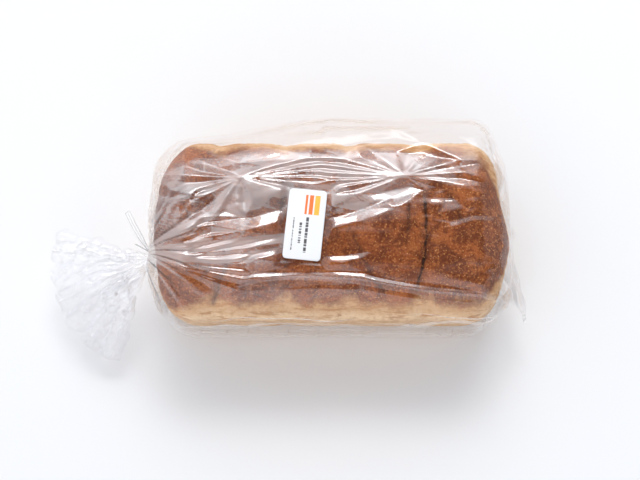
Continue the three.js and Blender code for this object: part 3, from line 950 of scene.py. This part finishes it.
on_body = np.stack([rings[:GATHER_END, :, 0] / LONG_WAY, round_way[:GATHER_END]], 2)
large, large_haze_and_highlights = facets_between(FOLDS, 11.0, 1.2, 41, on_body)
small, small_haze_and_highlights = facets_between([], 5.5, 0.6, 17, on_body)
lift, haze_and_highlights = np.zeros(round_way.shape), np.zeros(round_way.shape)
lift[:GATHER_END] = softened(large + small, 1)
haze_and_highlights[:GATHER_END] = 0.7 * large_haze_and_highlights + 0.3 * small_haze_and_highlights
facet_haze_and_highlights = np.vstack([large_haze_and_highlights, haze_and_highlights[GATHER_END:]])

FAN_LONG_WAY = 2.6  # the fan's facets run outwards from the neck
out_of_neck = np.arange(TAIL_RINGS)[:, None] / TAIL_RINGS * TAIL_LENGTH / FAN_LONG_WAY
on_fan = np.stack([np.broadcast_to(out_of_neck, round_way[NECK_END:].shape), round_way[NECK_END:]], 2)
fan_large, _ = facets_between([], 6.0, 6.5, 23, on_fan)
fan_small, _ = facets_between([], 3.0, 2.0, 29, on_fan)
fan_lift = np.zeros(round_way.shape)
fan_lift[NECK_END:] = fan_large + fan_small

# %% [markdown]
# The facets can't stand up everywhere: the film lies flat under the loaf and under the label, and it is
# drawn tight at the neck. The lift is faded out at those places, and each crease is softened over about the
# width that a thin film needs to turn. Fine pleats are then added round the neck and round the bag's near
# corner. They are waves in the bearing from one point, so they spread as they run away from it, as gathered
# cloth does.


# %% Raise the film by its folds
LABEL_SIZE = np.array([26.5, 50.0])
LABEL_TURN = math.radians(-6)
LABEL_THICKNESS, LABEL_LIFT, LABEL_CORNER = 0.4, 0.8, 2.5
label_side = np.array([math.cos(LABEL_TURN), math.sin(LABEL_TURN)])
label_up = np.array([-label_side[1], label_side[0]])

station = np.arange(len(rings))[:, None]
fade = smoothstep(station, 0, 7) * (1 - smoothstep(station, BODY_END - 8, GATHER_END - 6))
from_label = rings[:, :, :2] - LABEL_PLACE
beside, beyond = np.abs(from_label @ label_side), np.abs(from_label @ label_up)
gap = np.maximum(beside - LABEL_SIZE[0] / 2, beyond - LABEL_SIZE[1] / 2)
on_top = rings[:, :, 2] > 100
fade = fade * np.where(on_top, smoothstep(gap, 0.0, 7.0), 1.0) * smoothstep(rings[:, :, 2], 2, 18)


def outward(rings):
    """The normals of the skin, from its neighbours round and along."""
    round_step = np.roll(rings, -1, 1) - np.roll(rings, 1, 1)
    normals = np.cross(round_step, np.gradient(rings, axis=0))
    return normals / np.maximum(np.linalg.norm(normals, axis=2, keepdims=True), 1e-9)


lift = lift * fade
haze_and_highlights = haze_and_highlights * (1 - 0.9 * smoothstep(rings[:, :, 1], 54, 62))
in_fan = smoothstep(station, NECK_END + 2, NECK_END + 26)
lower_middle = smoothstep(np.abs(np.abs(round_way) - whole / 2), 0, 6)
lift = lift + fan_lift * in_fan * lower_middle


def pleats_from(centre, rates, near, far):
    """Fine pleats that run out from a point, by their bearing from it: the pattern, and where it reaches."""
    way = rings[:, :, :2] - centre
    bearing = np.arctan2(way[:, :, 1], way[:, :, 0])
    away = np.linalg.norm(way, axis=2)
    waves = [np.sin(rate * bearing + 2 * number + np.sin(5 * bearing)) for number, rate in enumerate(rates)]
    return sum(waves), away, 1 - smoothstep(away, near, far)


pleat, from_neck, near_neck = pleats_from(NECK_PLACE[:2], (17, 27, 43), 26, 62)
near_neck = near_neck * (rings[:, :, 2] > 70) * (station < BODY_END + 4)
ear_pleat, from_ear, near_ear = pleats_from(SEAL_NEAR[:2], (13, 19, 31), 20, 60)
near_ear = near_ear * (station < SEAL_END + 20) * smoothstep(station, 1, 4)
lift = lift + 0.007 * from_neck * pleat * near_neck + 0.010 * from_ear * ear_pleat * near_ear
folded_rings = rings + outward(rings) * lift[:, :, None]
print("film is raised by up to", lift.max().round(1), "mm")

# %% [markdown]
# Bag film is clear where it clings to the bread, and milky where it stands off, because the slip powder and
# the fine scratches on it scatter light there. A value stored on each point tells how milky it is. It also
# carries painted reflections and painted highlights: the pale glow mirrored in tilted facets, and white
# lines along folds and down the sides. It could be one soft noise, but on real film the milkiness keeps to
# whole facets and to strips beside the long folds. So it is laid out as the folds are: wide milky zones,
# narrow bands along folds, flat panes with straight borders, and streaks down the sides. The facets make all
# of them uneven.

# %% Milky zones and bands, partly painted reflections and highlights, by their place in millimetres, their size and their strength
# Painted reflection as well as milkiness: these zones whiten the facets where the pale glow of the room
# would be mirrored.
HAZE_AND_REFLECTION_ZONES = [
    ((-55, 16), (30, 18), 3.0),
    ((5, 41), (82, 10), 3.2),
    ((-70, -16), (48, 15), 1.9),
    ((15, 18), (45, 16), 1.8),
    ((-108, 20), (22, 26), 1.7),
    ((-40, -46), (80, 10), 0.4),
]
# Bands along the long folds: milky where the film lies double, and painted highlights for the bright lines
# beside the folds.
HAZE_AND_HIGHLIGHT_BANDS = [
    ([(-130, -19), (-82, 5), (-64, 35)], 3.0, 0.9),
    ([(-130, -21), (-64, -16), (-34, -12)], 3.4, 0.9),
    ([(-130, -24), (-77, -28), (-34, -20)], 2.4, 0.7),
    ([(-130, -26), (-57, -37), (20, -39), (68, -47), (113, -51)], 1.8, 0.5),
    ([(-64, 35), (-22, 42), (10, 38), (50, 33)], 2.6, 0.6),
    ([(-64, 35), (-4, 25), (46, 32)], 1.6, 0.6),
    ([(47, 42), (84, 30)], 4.5, 0.6),
    ([(-112, 26), (-96, 24), (-84, 24)], 3.0, 0.9),
    ([(-46, 30), (-36, 20), (-30, 26)], 4.0, 0.7),
    ([(-127, 0), (-112, 14), (-100, 18)], 2.4, 0.7),
    ([(84, -2), (98, 2), (112, 2)], 1.6, 0.5),
]
in_plan = rings[:, :, :2]
milky_and_mirrored = 0.12
for middle, spread, strength in HAZE_AND_REFLECTION_ZONES:
    milky_and_mirrored = milky_and_mirrored + strength * np.exp(-((((in_plan - middle) / spread) ** 2).sum(2) ** 2))
haze_and_highlights = haze_and_highlights * np.where(station < BODY_END, milky_and_mirrored, 1.0)
for line, half_wide, strength in HAZE_AND_HIGHLIGHT_BANDS:
    away = distance_to(line, in_plan)
    haze_and_highlights = haze_and_highlights + strength * (1 - smoothstep(away, half_wide - 0.4, half_wide + 0.4)) * on_top
print(len(HAZE_AND_REFLECTION_ZONES), "cloudy zones and", len(HAZE_AND_HIGHLIGHT_BANDS), "bands")

# %% Flat panes of painted reflection on the film, by their strength and corners
# Painted reflection: each pane whitens a flat stretch of film where the glow of the room would be mirrored.
REFLECTION_PANES = [
    (0.75, [(-86, 22), (-70, 5), (-50, 9), (-42, 17), (-54, 31), (-68, 36)]),
    (0.6, [(-58, 43), (-43, 38), (36, 31), (82, 29), (48, 42), (-11, 49)]),
    (0.3, [(-4, 8), (20, 5), (48, 16), (70, 28), (34, 30)]),
    (0.3, [(-118, -22), (-90, -34), (-42, -27), (-33, -20), (-38, -10), (-80, -14)]),
    (0.35, [(-114, 36), (-106, 24), (-86, 26), (-64, 34), (-72, 46), (-96, 46)]),
]


def inside_pane(corners, places):
    """Distance inside the border of a convex pane, in plan. Outside it is below zero."""
    corners = np.array(corners, float)
    inside = np.full(places.shape[:-1], np.inf)
    for a, b in zip(corners, np.roll(corners, -1, 0)):
        inward = np.array([a[1] - b[1], b[0] - a[0]]) / math.dist(a, b)
        inside = np.minimum(inside, (places - a) @ inward)
    return inside


for strength, corners in REFLECTION_PANES:
    inside = inside_pane(corners, in_plan)
    uneven = 0.75 + 0.4 * facet_haze_and_highlights
    haze_and_highlights = haze_and_highlights + strength * smoothstep(inside, -0.4, 0.4) * uneven * on_top
    # Painted highlight: a brighter line along each pane's border.
    haze_and_highlights = haze_and_highlights + 0.5 * strength * (1 - smoothstep(np.abs(inside), 0.3, 0.9)) * on_top
print(len(REFLECTION_PANES), "panes")

# %% Painted highlight streaks down the sides, by their distance round the film from the crown
# Painted highlights: thin white lines stand for the glints along the creases of the film on the sides.
HIGHLIGHT_STREAKS = (-77, -86, -98, -112, -126, -139, -152, 92, 104)
along = rings[:, :, 0]
over_body = smoothstep(station, SEAL_END, SEAL_END + 12) * (station < BODY_END)
for level in HIGHLIGHT_STREAKS:
    away = np.abs(round_way - level - 2.5 * np.sin(along / 19 + level) - np.sin(along / 7 + level))
    faint = 0.5 + 0.5 * np.sin(along / 23 + 2 * level)
    half_wide = 0.35 if abs(level) < 80 else 1.6
    haze_and_highlights = haze_and_highlights + 2.0 * faint * (1 - smoothstep(away, half_wide, 2 * half_wide + 0.2)) * over_body
print(len(HIGHLIGHT_STREAKS), "streaks")

# %% Milkier at the seal and in the gathers, painted highlights on the pleats, clearer in the tail
SEAL_BAND_RINGS = 4
gathers = smoothstep(station, BODY_END - 26, BODY_END + 10)
haze_and_highlights = haze_and_highlights + 0.8 * (station < SEAL_BAND_RINGS) + 0.5 * gathers
# Painted highlight: white streaks on the pleat crests round the neck and at the ear.
haze_and_highlights = haze_and_highlights + 1.0 * smoothstep(pleat, 0.9, 1.6) * near_neck
haze_and_highlights = haze_and_highlights + 0.5 * smoothstep(ear_pleat, 0.7, 1.6) * near_ear
haze_and_highlights = haze_and_highlights * (1 - 0.75 * smoothstep(station, NECK_END, NECK_END + 10))
print("haze in the gathered end is", haze_and_highlights[BODY_END:GATHER_END].mean().round(2), "on average")

# %% [markdown]
# Where film is gathered, several sheets lie on each other, and we look through all of them. A real bundle of
# sheets would need many skins. Here one skin stands for the bundle, and a value stored on its points tells
# how much the deep side of each pleat darkens what is behind it: partly the light lost in the stacked
# sheets, partly painted shade in the pleat valleys.

# %% Stacked film and painted shade in the pleats
layers = smoothstep(-pleat, 0.7, 1.5) * (1 - smoothstep(from_neck, 16, 46)) * (station < BODY_END + 4)
layers = layers + 0.4 * smoothstep(-ear_pleat, 0.9, 1.7) * near_ear
haze_and_highlights = haze_and_highlights * (1 - 0.8 * layers)
# The near skirt is milkier, with a painted sheen for the bright film that stands off the loaf's foot.
skirt = (1 - smoothstep(rings[:, :, 2], 34, 54)) * smoothstep(-rings[:, :, 1], 56, 63) * (station < BODY_END)
haze_and_highlights = haze_and_highlights + 0.5 * skirt * (0.4 + facet_haze_and_highlights)
# Painted highlight: white streaks on the pleat crests of the tail.
in_tail = (station >= NECK_END) * (1 - 0.6 * smoothstep(from_neck, 20, 60))
haze_and_highlights = haze_and_highlights + 0.9 * smoothstep(pleat, 0.6, 1.6) * in_tail
layers = layers + 0.12 * smoothstep(-pleat, 0.8, 1.6) * in_tail
print("haze up to", haze_and_highlights.max().round(2), "and layers up to", layers.max().round(2))

# %% [markdown]
# Between the folds thin film also crackles. The crackle is weakest where the film clings to the crown and
# strongest in the gathered end, the ears and the fan. `slack` stores that for the recipe that adds it.

# %% Slack, and the film as a piece
near_seal = 1 - smoothstep(station, 4, SEAL_END + 12)
slack = 0.1 + 0.9 * smoothstep(station, BODY_END - 30, BODY_END + 6) + 0.6 * near_seal
slack = slack + 0.8 * smoothstep(station, NECK_END, NECK_END + 12)
clinging = np.where(on_top, 0.25 + 0.75 * smoothstep(gap, -1.0, 8.0), 1.0)
slack = slack * clinging * smoothstep(rings[:, :, 2], 1, 12)
held_tight = smoothstep(station, GATHER_END - 8, GATHER_END)
held_tight = held_tight * (1 - smoothstep(station, NECK_END, NECK_END + 4))
slack = slack * (1 - 0.8 * held_tight)
film_bag = make_piece("film_bag", folded_rings.reshape(-1, 3), skin_faces, {
    "slack": slack.ravel(),
    "haze_and_highlights": np.clip(haze_and_highlights, 0, 1.4).ravel(),
    "layers": layers.ravel(),
})

# %% [markdown]
# The crackle is a pattern of small flat cells with sharp borders, which Voronoi cells give, stretched a
# little along the bag. A slower noise bends the cells so that they do not look tiled.

# %% Recipe for the crackle of thin film
crackle_recipe, given, result = new_recipe("film crackle", {
    "Cell height": float, "Cell size": float, "Wave height": float, "Wave size": float,
    "Finish": bpy.types.Material,
})
tree = crackle_recipe
where = node(tree, "GeometryNodeInputPosition").outputs[0]
wave_at = over(tree, given["Wave size"])
bent = node(tree, "ShaderNodeTexNoise", {"Vector": wave_at, "Scale": 1.0, "Detail": 2.0})
sway = vector(tree, "SCALE", bent.outputs[1], Scale=1.1)
cells_at = vector(tree, "ADD", over(tree, given["Cell size"], (2.2, 1, 1)), sway)
crackle = plus(tree, cells(tree, cells_at, 1.0), times(tree, cells(tree, cells_at, 2.3), 0.35))
raised = times(tree, crackle, given["Cell height"])
waves = times(tree, calc(tree, "SUBTRACT", bent.outputs[0], 0.35), given["Wave height"])
height = times(tree, plus(tree, raised, waves), on_points(tree, "slack"))
end_recipe(tree, pushed_out(tree, given["Geometry"], height), given["Finish"], result)
print("crackle recipe has", len(tree.nodes), "nodes")

# %% [markdown]
# ## The film's finish
#
# Clear film has two faces that each mirror about one twenty-fifth of the light head on, and far more at a
# glancing angle. So its finish is a mirror laid over perfect clearness, mixed by the Fresnel rule. Glass
# with a refraction would bend what lies behind it, as a thick wall does, and film is far too thin for that.
# Where the stored milkiness is high, a rough sheen with a little light coming through takes the place of
# clearness. This also shows the painted reflections and highlights that are stored with it.

# %% The film's finish
film = bpy.data.materials.new("film")
film.use_nodes = True
tree = film.node_tree
tree.nodes.clear()
HEAD_ON = 0.08
edge_on = node(tree, "ShaderNodeLayerWeight", {"Blend": 0.5}).outputs["Facing"]
grazing = calc(tree, "POWER", edge_on, 5.0)
mirror_share = remap(tree, grazing, 0, 1, HEAD_ON, 1.0)
# Painted shade: the clear part of the film turns grey on the deep side of the pleats.
passes = blend(tree, stored(tree, "layers"), rgb(0.995, 0.995, 1.0), rgb(0.30, 0.31, 0.34))
clear = node(tree, "ShaderNodeBsdfTransparent", {"Color": passes})
mirror = node(tree, "ShaderNodeBsdfAnisotropic", {"Color": rgb(1, 1, 1), "Roughness": 0.05})
sheen = node(tree, "ShaderNodeBsdfAnisotropic", {"Color": rgb(1, 1, 1), "Roughness": 0.52})
through = node(tree, "ShaderNodeBsdfTranslucent", {"Color": rgb(0.95, 0.95, 0.96)})
milky = node(tree, "ShaderNodeMixShader", {0: 0.3, 1: sheen.outputs[0], 2: through.outputs[0]})
haze_and_highlight_share = remap(tree, stored(tree, "haze_and_highlights"), 0.12, 1.4, 0.004, 0.40)
body_of_film = node(tree, "ShaderNodeMixShader", {0: haze_and_highlight_share, 1: clear.outputs[0], 2: milky.outputs[0]})
both_faces = {0: mirror_share, 1: body_of_film.outputs[0], 2: mirror.outputs[0]}
surface = node(tree, "ShaderNodeMixShader", both_faces)
node(tree, "ShaderNodeOutputMaterial", {"Surface": surface.outputs[0]})
bpy.context.scene.cycles.transparent_max_bounces = 24  # enough to look through every fold

use_recipe(film_bag, crackle_recipe, cell_height=0.0011, cell_size=0.0062, wave_height=0.0014,
           wave_size=0.014, finish=film)

# %% [markdown]
# ## The label
#
# The label is a small die-cut sticker with rounded corners. It follows the film under it but is stiffer, so
# it smooths over the dips. It is built as rings that grow from its middle, once for the underside and once
# for the top, which also makes its thin edge. Its print is kept to plain bars and dashes, so that it can
# stand for any baker's label.

# %% The sticker
LABEL_RINGS, LABEL_ROUND = 26, 144


def label_outline(count):
    """Points evenly spaced along a rectangle with rounded corners."""
    half_wide, half_long = LABEL_SIZE / 2
    corners = []
    for quarter_turn, (sx, sy) in enumerate([(1, 1), (-1, 1), (-1, -1), (1, -1)]):
        centre = np.array([sx * (half_wide - LABEL_CORNER), sy * (half_long - LABEL_CORNER)])
        for angle in np.linspace(0, math.pi / 2, 9) + quarter_turn * math.pi / 2:
            corners.append(centre + LABEL_CORNER * np.array([math.cos(angle), math.sin(angle)]))
    return even_points(np.array(corners + corners[:1]), count + 1)[:-1]


def label_points(share, height):
    """One ring of the label at a share of its full size, as points and as its own across and along."""
    own = label_outline(LABEL_ROUND) * share
    spots = LABEL_PLACE + own[:, :1] * label_side + own[:, 1:] * label_up
    ripple = 0.16 * np.sin(own[:, 0] / 4.3 + 0.6) * np.sin(own[:, 1] / 7.1)
    ripple = ripple + 0.1 * np.sin(own[:, 1] / 2.9 + own[:, 0] / 6)
    up = film_top(spots[:, 0], spots[:, 1]) + LABEL_LIFT + height + ripple
    return np.column_stack([spots, up]), own


shares = np.linspace(1, 0, LABEL_RINGS, endpoint=False)
rows = [label_points(share, 0.0) for share in shares[::-1]]
rows += [label_points(share, LABEL_THICKNESS) for share in shares]
middles = [label_points(0, height)[0][:1] for height in (0.0, LABEL_THICKNESS)]
points = np.vstack([row[0] for row in rows] + middles)
own = np.vstack([row[1] for row in rows] + [np.zeros((2, 2))])
faces = [tuple(face) for face in tube_faces(len(rows), LABEL_ROUND)]
last = (len(rows) - 1) * LABEL_ROUND
for i in range(LABEL_ROUND):
    j = (i + 1) % LABEL_ROUND
    faces += [(len(points) - 2, j, i), (len(points) - 1, last + i, last + j)]
label_paper = make_piece("label_paper", points, faces, {"across": own[:, 0], "along": own[:, 1]})
print("label of", len(faces), "faces")

# %% [markdown]
# The print is drawn by the material from `across` and `along`, the label's own place in millimetres, which
# lie on its points. A field is where both lie between two limits, and a row of dashes is a field broken up
# by noise that changes only along the row.

# %% Its print, as fields of colour
paper = bpy.data.materials.new("label")
paper.use_nodes = True
tree = paper.node_tree
sheet = tree.nodes["Principled BSDF"]
across_label = stored(tree, "across")
along_label = stored(tree, "along")


def within(tree, value, low, high):
    """1 where a value lies between two limits."""
    return times(tree, calc(tree, "GREATER_THAN", value, low), calc(tree, "LESS_THAN", value, high))


def field(tree, left, right, bottom, top):
    """1 inside a rectangle on the label."""
    return times(tree, within(tree, across_label, left, right), within(tree, along_label, bottom, top))


def dashes(tree, left, right, bottom, top, size, threshold):
    """A row of short dashes of uneven length inside a field."""
    line = node(tree, "ShaderNodeCombineXYZ", {0: times(tree, along_label, size), 1: left}).outputs[0]
    gaps = node(tree, "ShaderNodeTexNoise", {"Vector": line, "Scale": 1.0, "Detail": 0.0}).outputs[0]
    printed = calc(tree, "GREATER_THAN", gaps, threshold)
    return times(tree, field(tree, left, right, bottom, top), printed)


BARS = [
    ((5.4, 9.0, 7.0, 21.0), rgb(0.95, 0.52, 0.07)),
    ((1.6, 4.4, 7.0, 21.0), rgb(0.90, 0.20, 0.04)),
    ((-1.2, 0.4, 7.0, 21.0), rgb(0.90, 0.20, 0.04)),
]
DASHED_ROWS = [
    (0.6, 2.5, -20.0, 5.0, 1.2, 0.40),
    (-3.7, -2.0, -15.0, 1.0, 1.3, 0.40),
    (-8.3, -7.5, -19.0, 4.0, 2.2, 0.45),
]
ink = rgb(0.87, 0.87, 0.87)
for bounds, colour in BARS:
    ink = blend(tree, field(tree, *bounds), ink, colour)
for row in DASHED_ROWS:
    ink = blend(tree, dashes(tree, *row), ink, rgb(0.10, 0.09, 0.09))
tree.links.new(ink, sheet.inputs["Base Color"])
sheet.inputs["Roughness"].default_value = 0.5
sheet.inputs["Specular IOR Level"].default_value = 0.4
label_paper.data.materials.append(paper)
print("label finish has", len(tree.nodes), "nodes")

# %% [markdown]
# ## The tie
#
# The tie is a narrow ribbon of clear plastic with a wire along its middle. It goes once round the neck, is
# twisted on itself, and leaves one long end and one short end. A ribbon is a path with a direction for its
# width at every point, so one helper serves the band and both ends. Clear plastic shows mostly at its cut
# edges and at the wire, which look grey. A value stored on the points says where those are. The grey of the
# cut edges is painted shade, for the dark line that a clear edge shows where it bends the light, and the
# wire's grey is its own.

# %% A ribbon along a path
TIE_WIDTH, TIE_THICKNESS = 4.0, 0.7
# Half of the ribbon's section, as shares of its width and thickness, with how grey it is there: painted
# shade at the cut edges, the wire's own grey at the rib.
HALF_PROFILE = [
    (-0.5, -0.18, 1.0), (-0.5, 0.18, 1.0), (-0.42, 0.3, 0.1), (-0.13, 0.24, 0.0), (0.0, 0.5, 0.35),
    (0.13, 0.24, 0.0), (0.42, 0.3, 0.1),
]
PROFILE = HALF_PROFILE + [(-across, -thick, rim) for across, thick, rim in HALF_PROFILE]


def ribbon(path, wide, closed=False):
    """Points and faces of a ribbon with a wire rib, along a path, with its width turned the given way."""
    ahead = np.roll(path, -1, 0) - np.roll(path, 1, 0) if closed else np.gradient(path, axis=0)
    ahead /= np.linalg.norm(ahead, axis=1, keepdims=True)
    wide = wide - ahead * (wide * ahead).sum(1, keepdims=True)
    wide /= np.linalg.norm(wide, axis=1, keepdims=True)
    thin = np.cross(ahead, wide)
    profile = np.array(PROFILE[::-1])
    sections = path[:, None] + wide[:, None] * profile[None, :, :1] * TIE_WIDTH
    sections = sections + thin[:, None] * profile[None, :, 1:2] * TIE_THICKNESS
    count, size = len(path), len(profile)
    faces = [tuple(face) for face in tube_faces(count, size)]
    last = (count - 1) * size
    if closed:
        faces += [(last + i, last + (i + 1) % size, (i + 1) % size, i) for i in range(size)]
    else:
        faces += [tuple(range(size))[::-1], tuple(last + i for i in range(size))]
    return sections.reshape(-1, 3), faces


def spline(knots, count):
    """A smooth line through a few knots."""
    knots = np.array(knots, float)
    knots = np.vstack([2 * knots[0] - knots[1], knots, 2 * knots[-1] - knots[-2]])
    line = []
    for a, b, c, d in zip(knots, knots[1:], knots[2:], knots[3:]):
        for t in np.linspace(0, 1, 24, endpoint=False):
            line.append(b + 0.5 * t * (c - a + t * (2 * a - 5 * b + 4 * c - d + t * (3 * (b - c) + d - a))))
    return even_points(np.array(line + [knots[-2]]), count)


# %% The band and its two ends
BAND_POINTS = 90
tie_x = NECK_PLACE[0] - NECK_LENGTH / 2
angle = np.linspace(0, 2 * math.pi, BAND_POINTS, endpoint=False)
band_radius = 7.45 + 0.12 * np.sin(5 * angle)
band_path = np.column_stack([tie_x + 0.35 * np.sin(angle * 2), NECK_PLACE[1] + band_radius * np.cos(angle),
                             NECK_PLACE[2] + band_radius * np.sin(angle)])
twist = np.array([tie_x, NECK_PLACE[1] + 7.8, NECK_PLACE[2] + 1.0])
long_path = twist + spline([(0, -0.4, 0), (-3.5, 4, 2.5), (-9, 13, 5), (-14, 22, 6), (-18, 30, 5)], 90)
short_path = twist + spline([(0, -0.4, 0), (-5, 2.5, -1), (-12, 6.5, -2)], 40)


def width_ways(path, first, last, turned_by=0.6):
    """A width direction that turns from one way to another over the first part of a path."""
    share = smoothstep(np.linspace(0, 1, len(path)), 0, turned_by)[:, None]
    return np.array(first) * (1 - share) + np.array(last) * share


parts = [ribbon(band_path, np.tile([1.0, 0, 0], (BAND_POINTS, 1)), closed=True),
         ribbon(long_path, width_ways(long_path, (0.3, 0.1, 1.0), (0.85, 0.5, 0.1))),
         ribbon(short_path, width_ways(short_path, (0.2, 0.1, 1.0), (0.3, -0.3, 0.9)))]
points, faces = [], []
for spots, sides in parts:
    faces += [tuple(len(points) + corner for corner in side) for side in sides]
    points += list(spots)
rim = np.tile(np.array(PROFILE[::-1])[:, 2], len(points) // len(PROFILE))
tie_band = make_piece("tie_band", np.array(points), faces, {"rim": rim})
print("tie of", len(faces), "faces")

# %% Its finish: see-through, with painted grey shade at the cut edges and a grey wire
tie_plastic = bpy.data.materials.new("tie")
tie_plastic.use_nodes = True
tree = tie_plastic.node_tree
plastic = tree.nodes["Principled BSDF"]
# Painted shade: the cut edges are tinted dark grey; the wire's grey is its own colour.
tint = blend(tree, stored(tree, "rim"), rgb(0.93, 0.94, 0.95), rgb(0.26, 0.27, 0.29))
tree.links.new(tint, plastic.inputs["Base Color"])
tree.links.new(remap(tree, stored(tree, "rim"), 0.0, 0.8, 0.2, 0.95), plastic.inputs["Alpha"])
plastic.inputs["Roughness"].default_value = 0.18
tie_band.data.materials.append(tie_plastic)

# %% [markdown]
# ## Bran flecks
#
# Wholemeal bread is rolled in bran, so small pale flakes sit on its crust. They also stand for glints: their
# bright orange and their crowding towards the right end are painted highlights of the blistered skin there.
# They are scattered by a Geometry Nodes recipe: points fall on the skin, a thin flake is placed on each,
# turned and sized at random, and the whole scatter is kept as one mesh.

# %% Flakes on the crust
fleck_recipe, given, result = new_recipe("bran scatter", {
    "Flakes per square metre": float, "Flake size": float, "Seed": int, "Finish": bpy.types.Material,
})
tree = fleck_recipe
where = node(tree, "GeometryNodeInputPosition").outputs[0]
along = node(tree, "ShaderNodeSeparateXYZ", {0: where}).outputs["X"]
on_dome = remap(tree, on_points(tree, "rise"), -12.0, 4.0, 0.12, 1.0)
# Painted highlight: the flakes crowd towards the right end to stand for the glints of its blistered skin.
glints_towards_right = remap(tree, along, 0.03, 0.14, 0.35, 2.2)
density = times(tree, given["Flakes per square metre"], times(tree, on_dome, glints_towards_right))
where_to = {"Mesh": given["Geometry"], "Density": density, "Seed": given["Seed"]}
scatter = node(tree, "GeometryNodeDistributePointsOnFaces", where_to)
flake = node(tree, "GeometryNodeMeshIcoSphere", {"Radius": 1.0, "Subdivisions": 1})
squashed = node(tree, "GeometryNodeTransform", {"Geometry": flake.outputs[0], "Scale": (1.0, 0.62, 0.22)})
spin = node(tree, "FunctionNodeRandomValue", {"Max": 6.283, "Seed": given["Seed"]}, data_type="FLOAT")
turn = node(tree, "ShaderNodeCombineXYZ", {2: spin.outputs[1]})
laid = node(tree, "FunctionNodeRotateRotation", {0: scatter.outputs["Rotation"], 1: turn.outputs[0]},
            rotation_space="LOCAL")
span = node(tree, "FunctionNodeRandomValue", {"Min": 0.35, "Max": 1.0, "Seed": 7}, data_type="FLOAT")
copies = node(tree, "GeometryNodeInstanceOnPoints", {
    "Points": scatter.outputs["Points"],
    "Instance": squashed.outputs[0],
    "Rotation": laid.outputs[0],
    "Scale": times(tree, span.outputs[1], given["Flake size"]),
})
end_recipe(tree, copies.outputs[0], given["Finish"], result)
print("bran recipe has", len(tree.nodes), "nodes")

# %% The flakes as a piece
bran = bpy.data.materials.new("bran")
bran.use_nodes = True
flesh = bran.node_tree.nodes["Principled BSDF"]
# The bright orange stands for glints of the skin as well as for bran: a painted highlight.
flesh.inputs["Base Color"].default_value = rgb(0.86, 0.44, 0.16)
flesh.inputs["Roughness"].default_value = 0.35

bran_flecks = bpy.data.objects.new("bran_flecks", loaf.data.copy())
bpy.context.scene.collection.objects.link(bran_flecks)
use_recipe(bran_flecks, fleck_recipe, flakes_per_square_metre=26000.0, flake_size=0.0005, seed=5,
           finish=bran)

# %% [markdown]
# ## Put the pieces on the model
#
# Everything rides on the model's only body. The loaf and the film stand for its solid bag, and the label and
# the tie stand for theirs.

# %% Ride and replace
pieces = {
    "loaf_crust": ("bag", "crust"),
    "film_bag": ("bag", "film"),
    "bran_flecks": (None, "crust"),
    "label_paper": ("label", "label"),
    "tie_band": ("tie", "tie"),
}
for name, (stands_for, finish_slot) in pieces.items():
    piece = bpy.data.objects[name]
    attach(piece, "root")
    if stands_for:
        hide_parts(stands_for)
    print(name, len(piece.data.polygons), "faces")

bpy.context.view_layer.update()
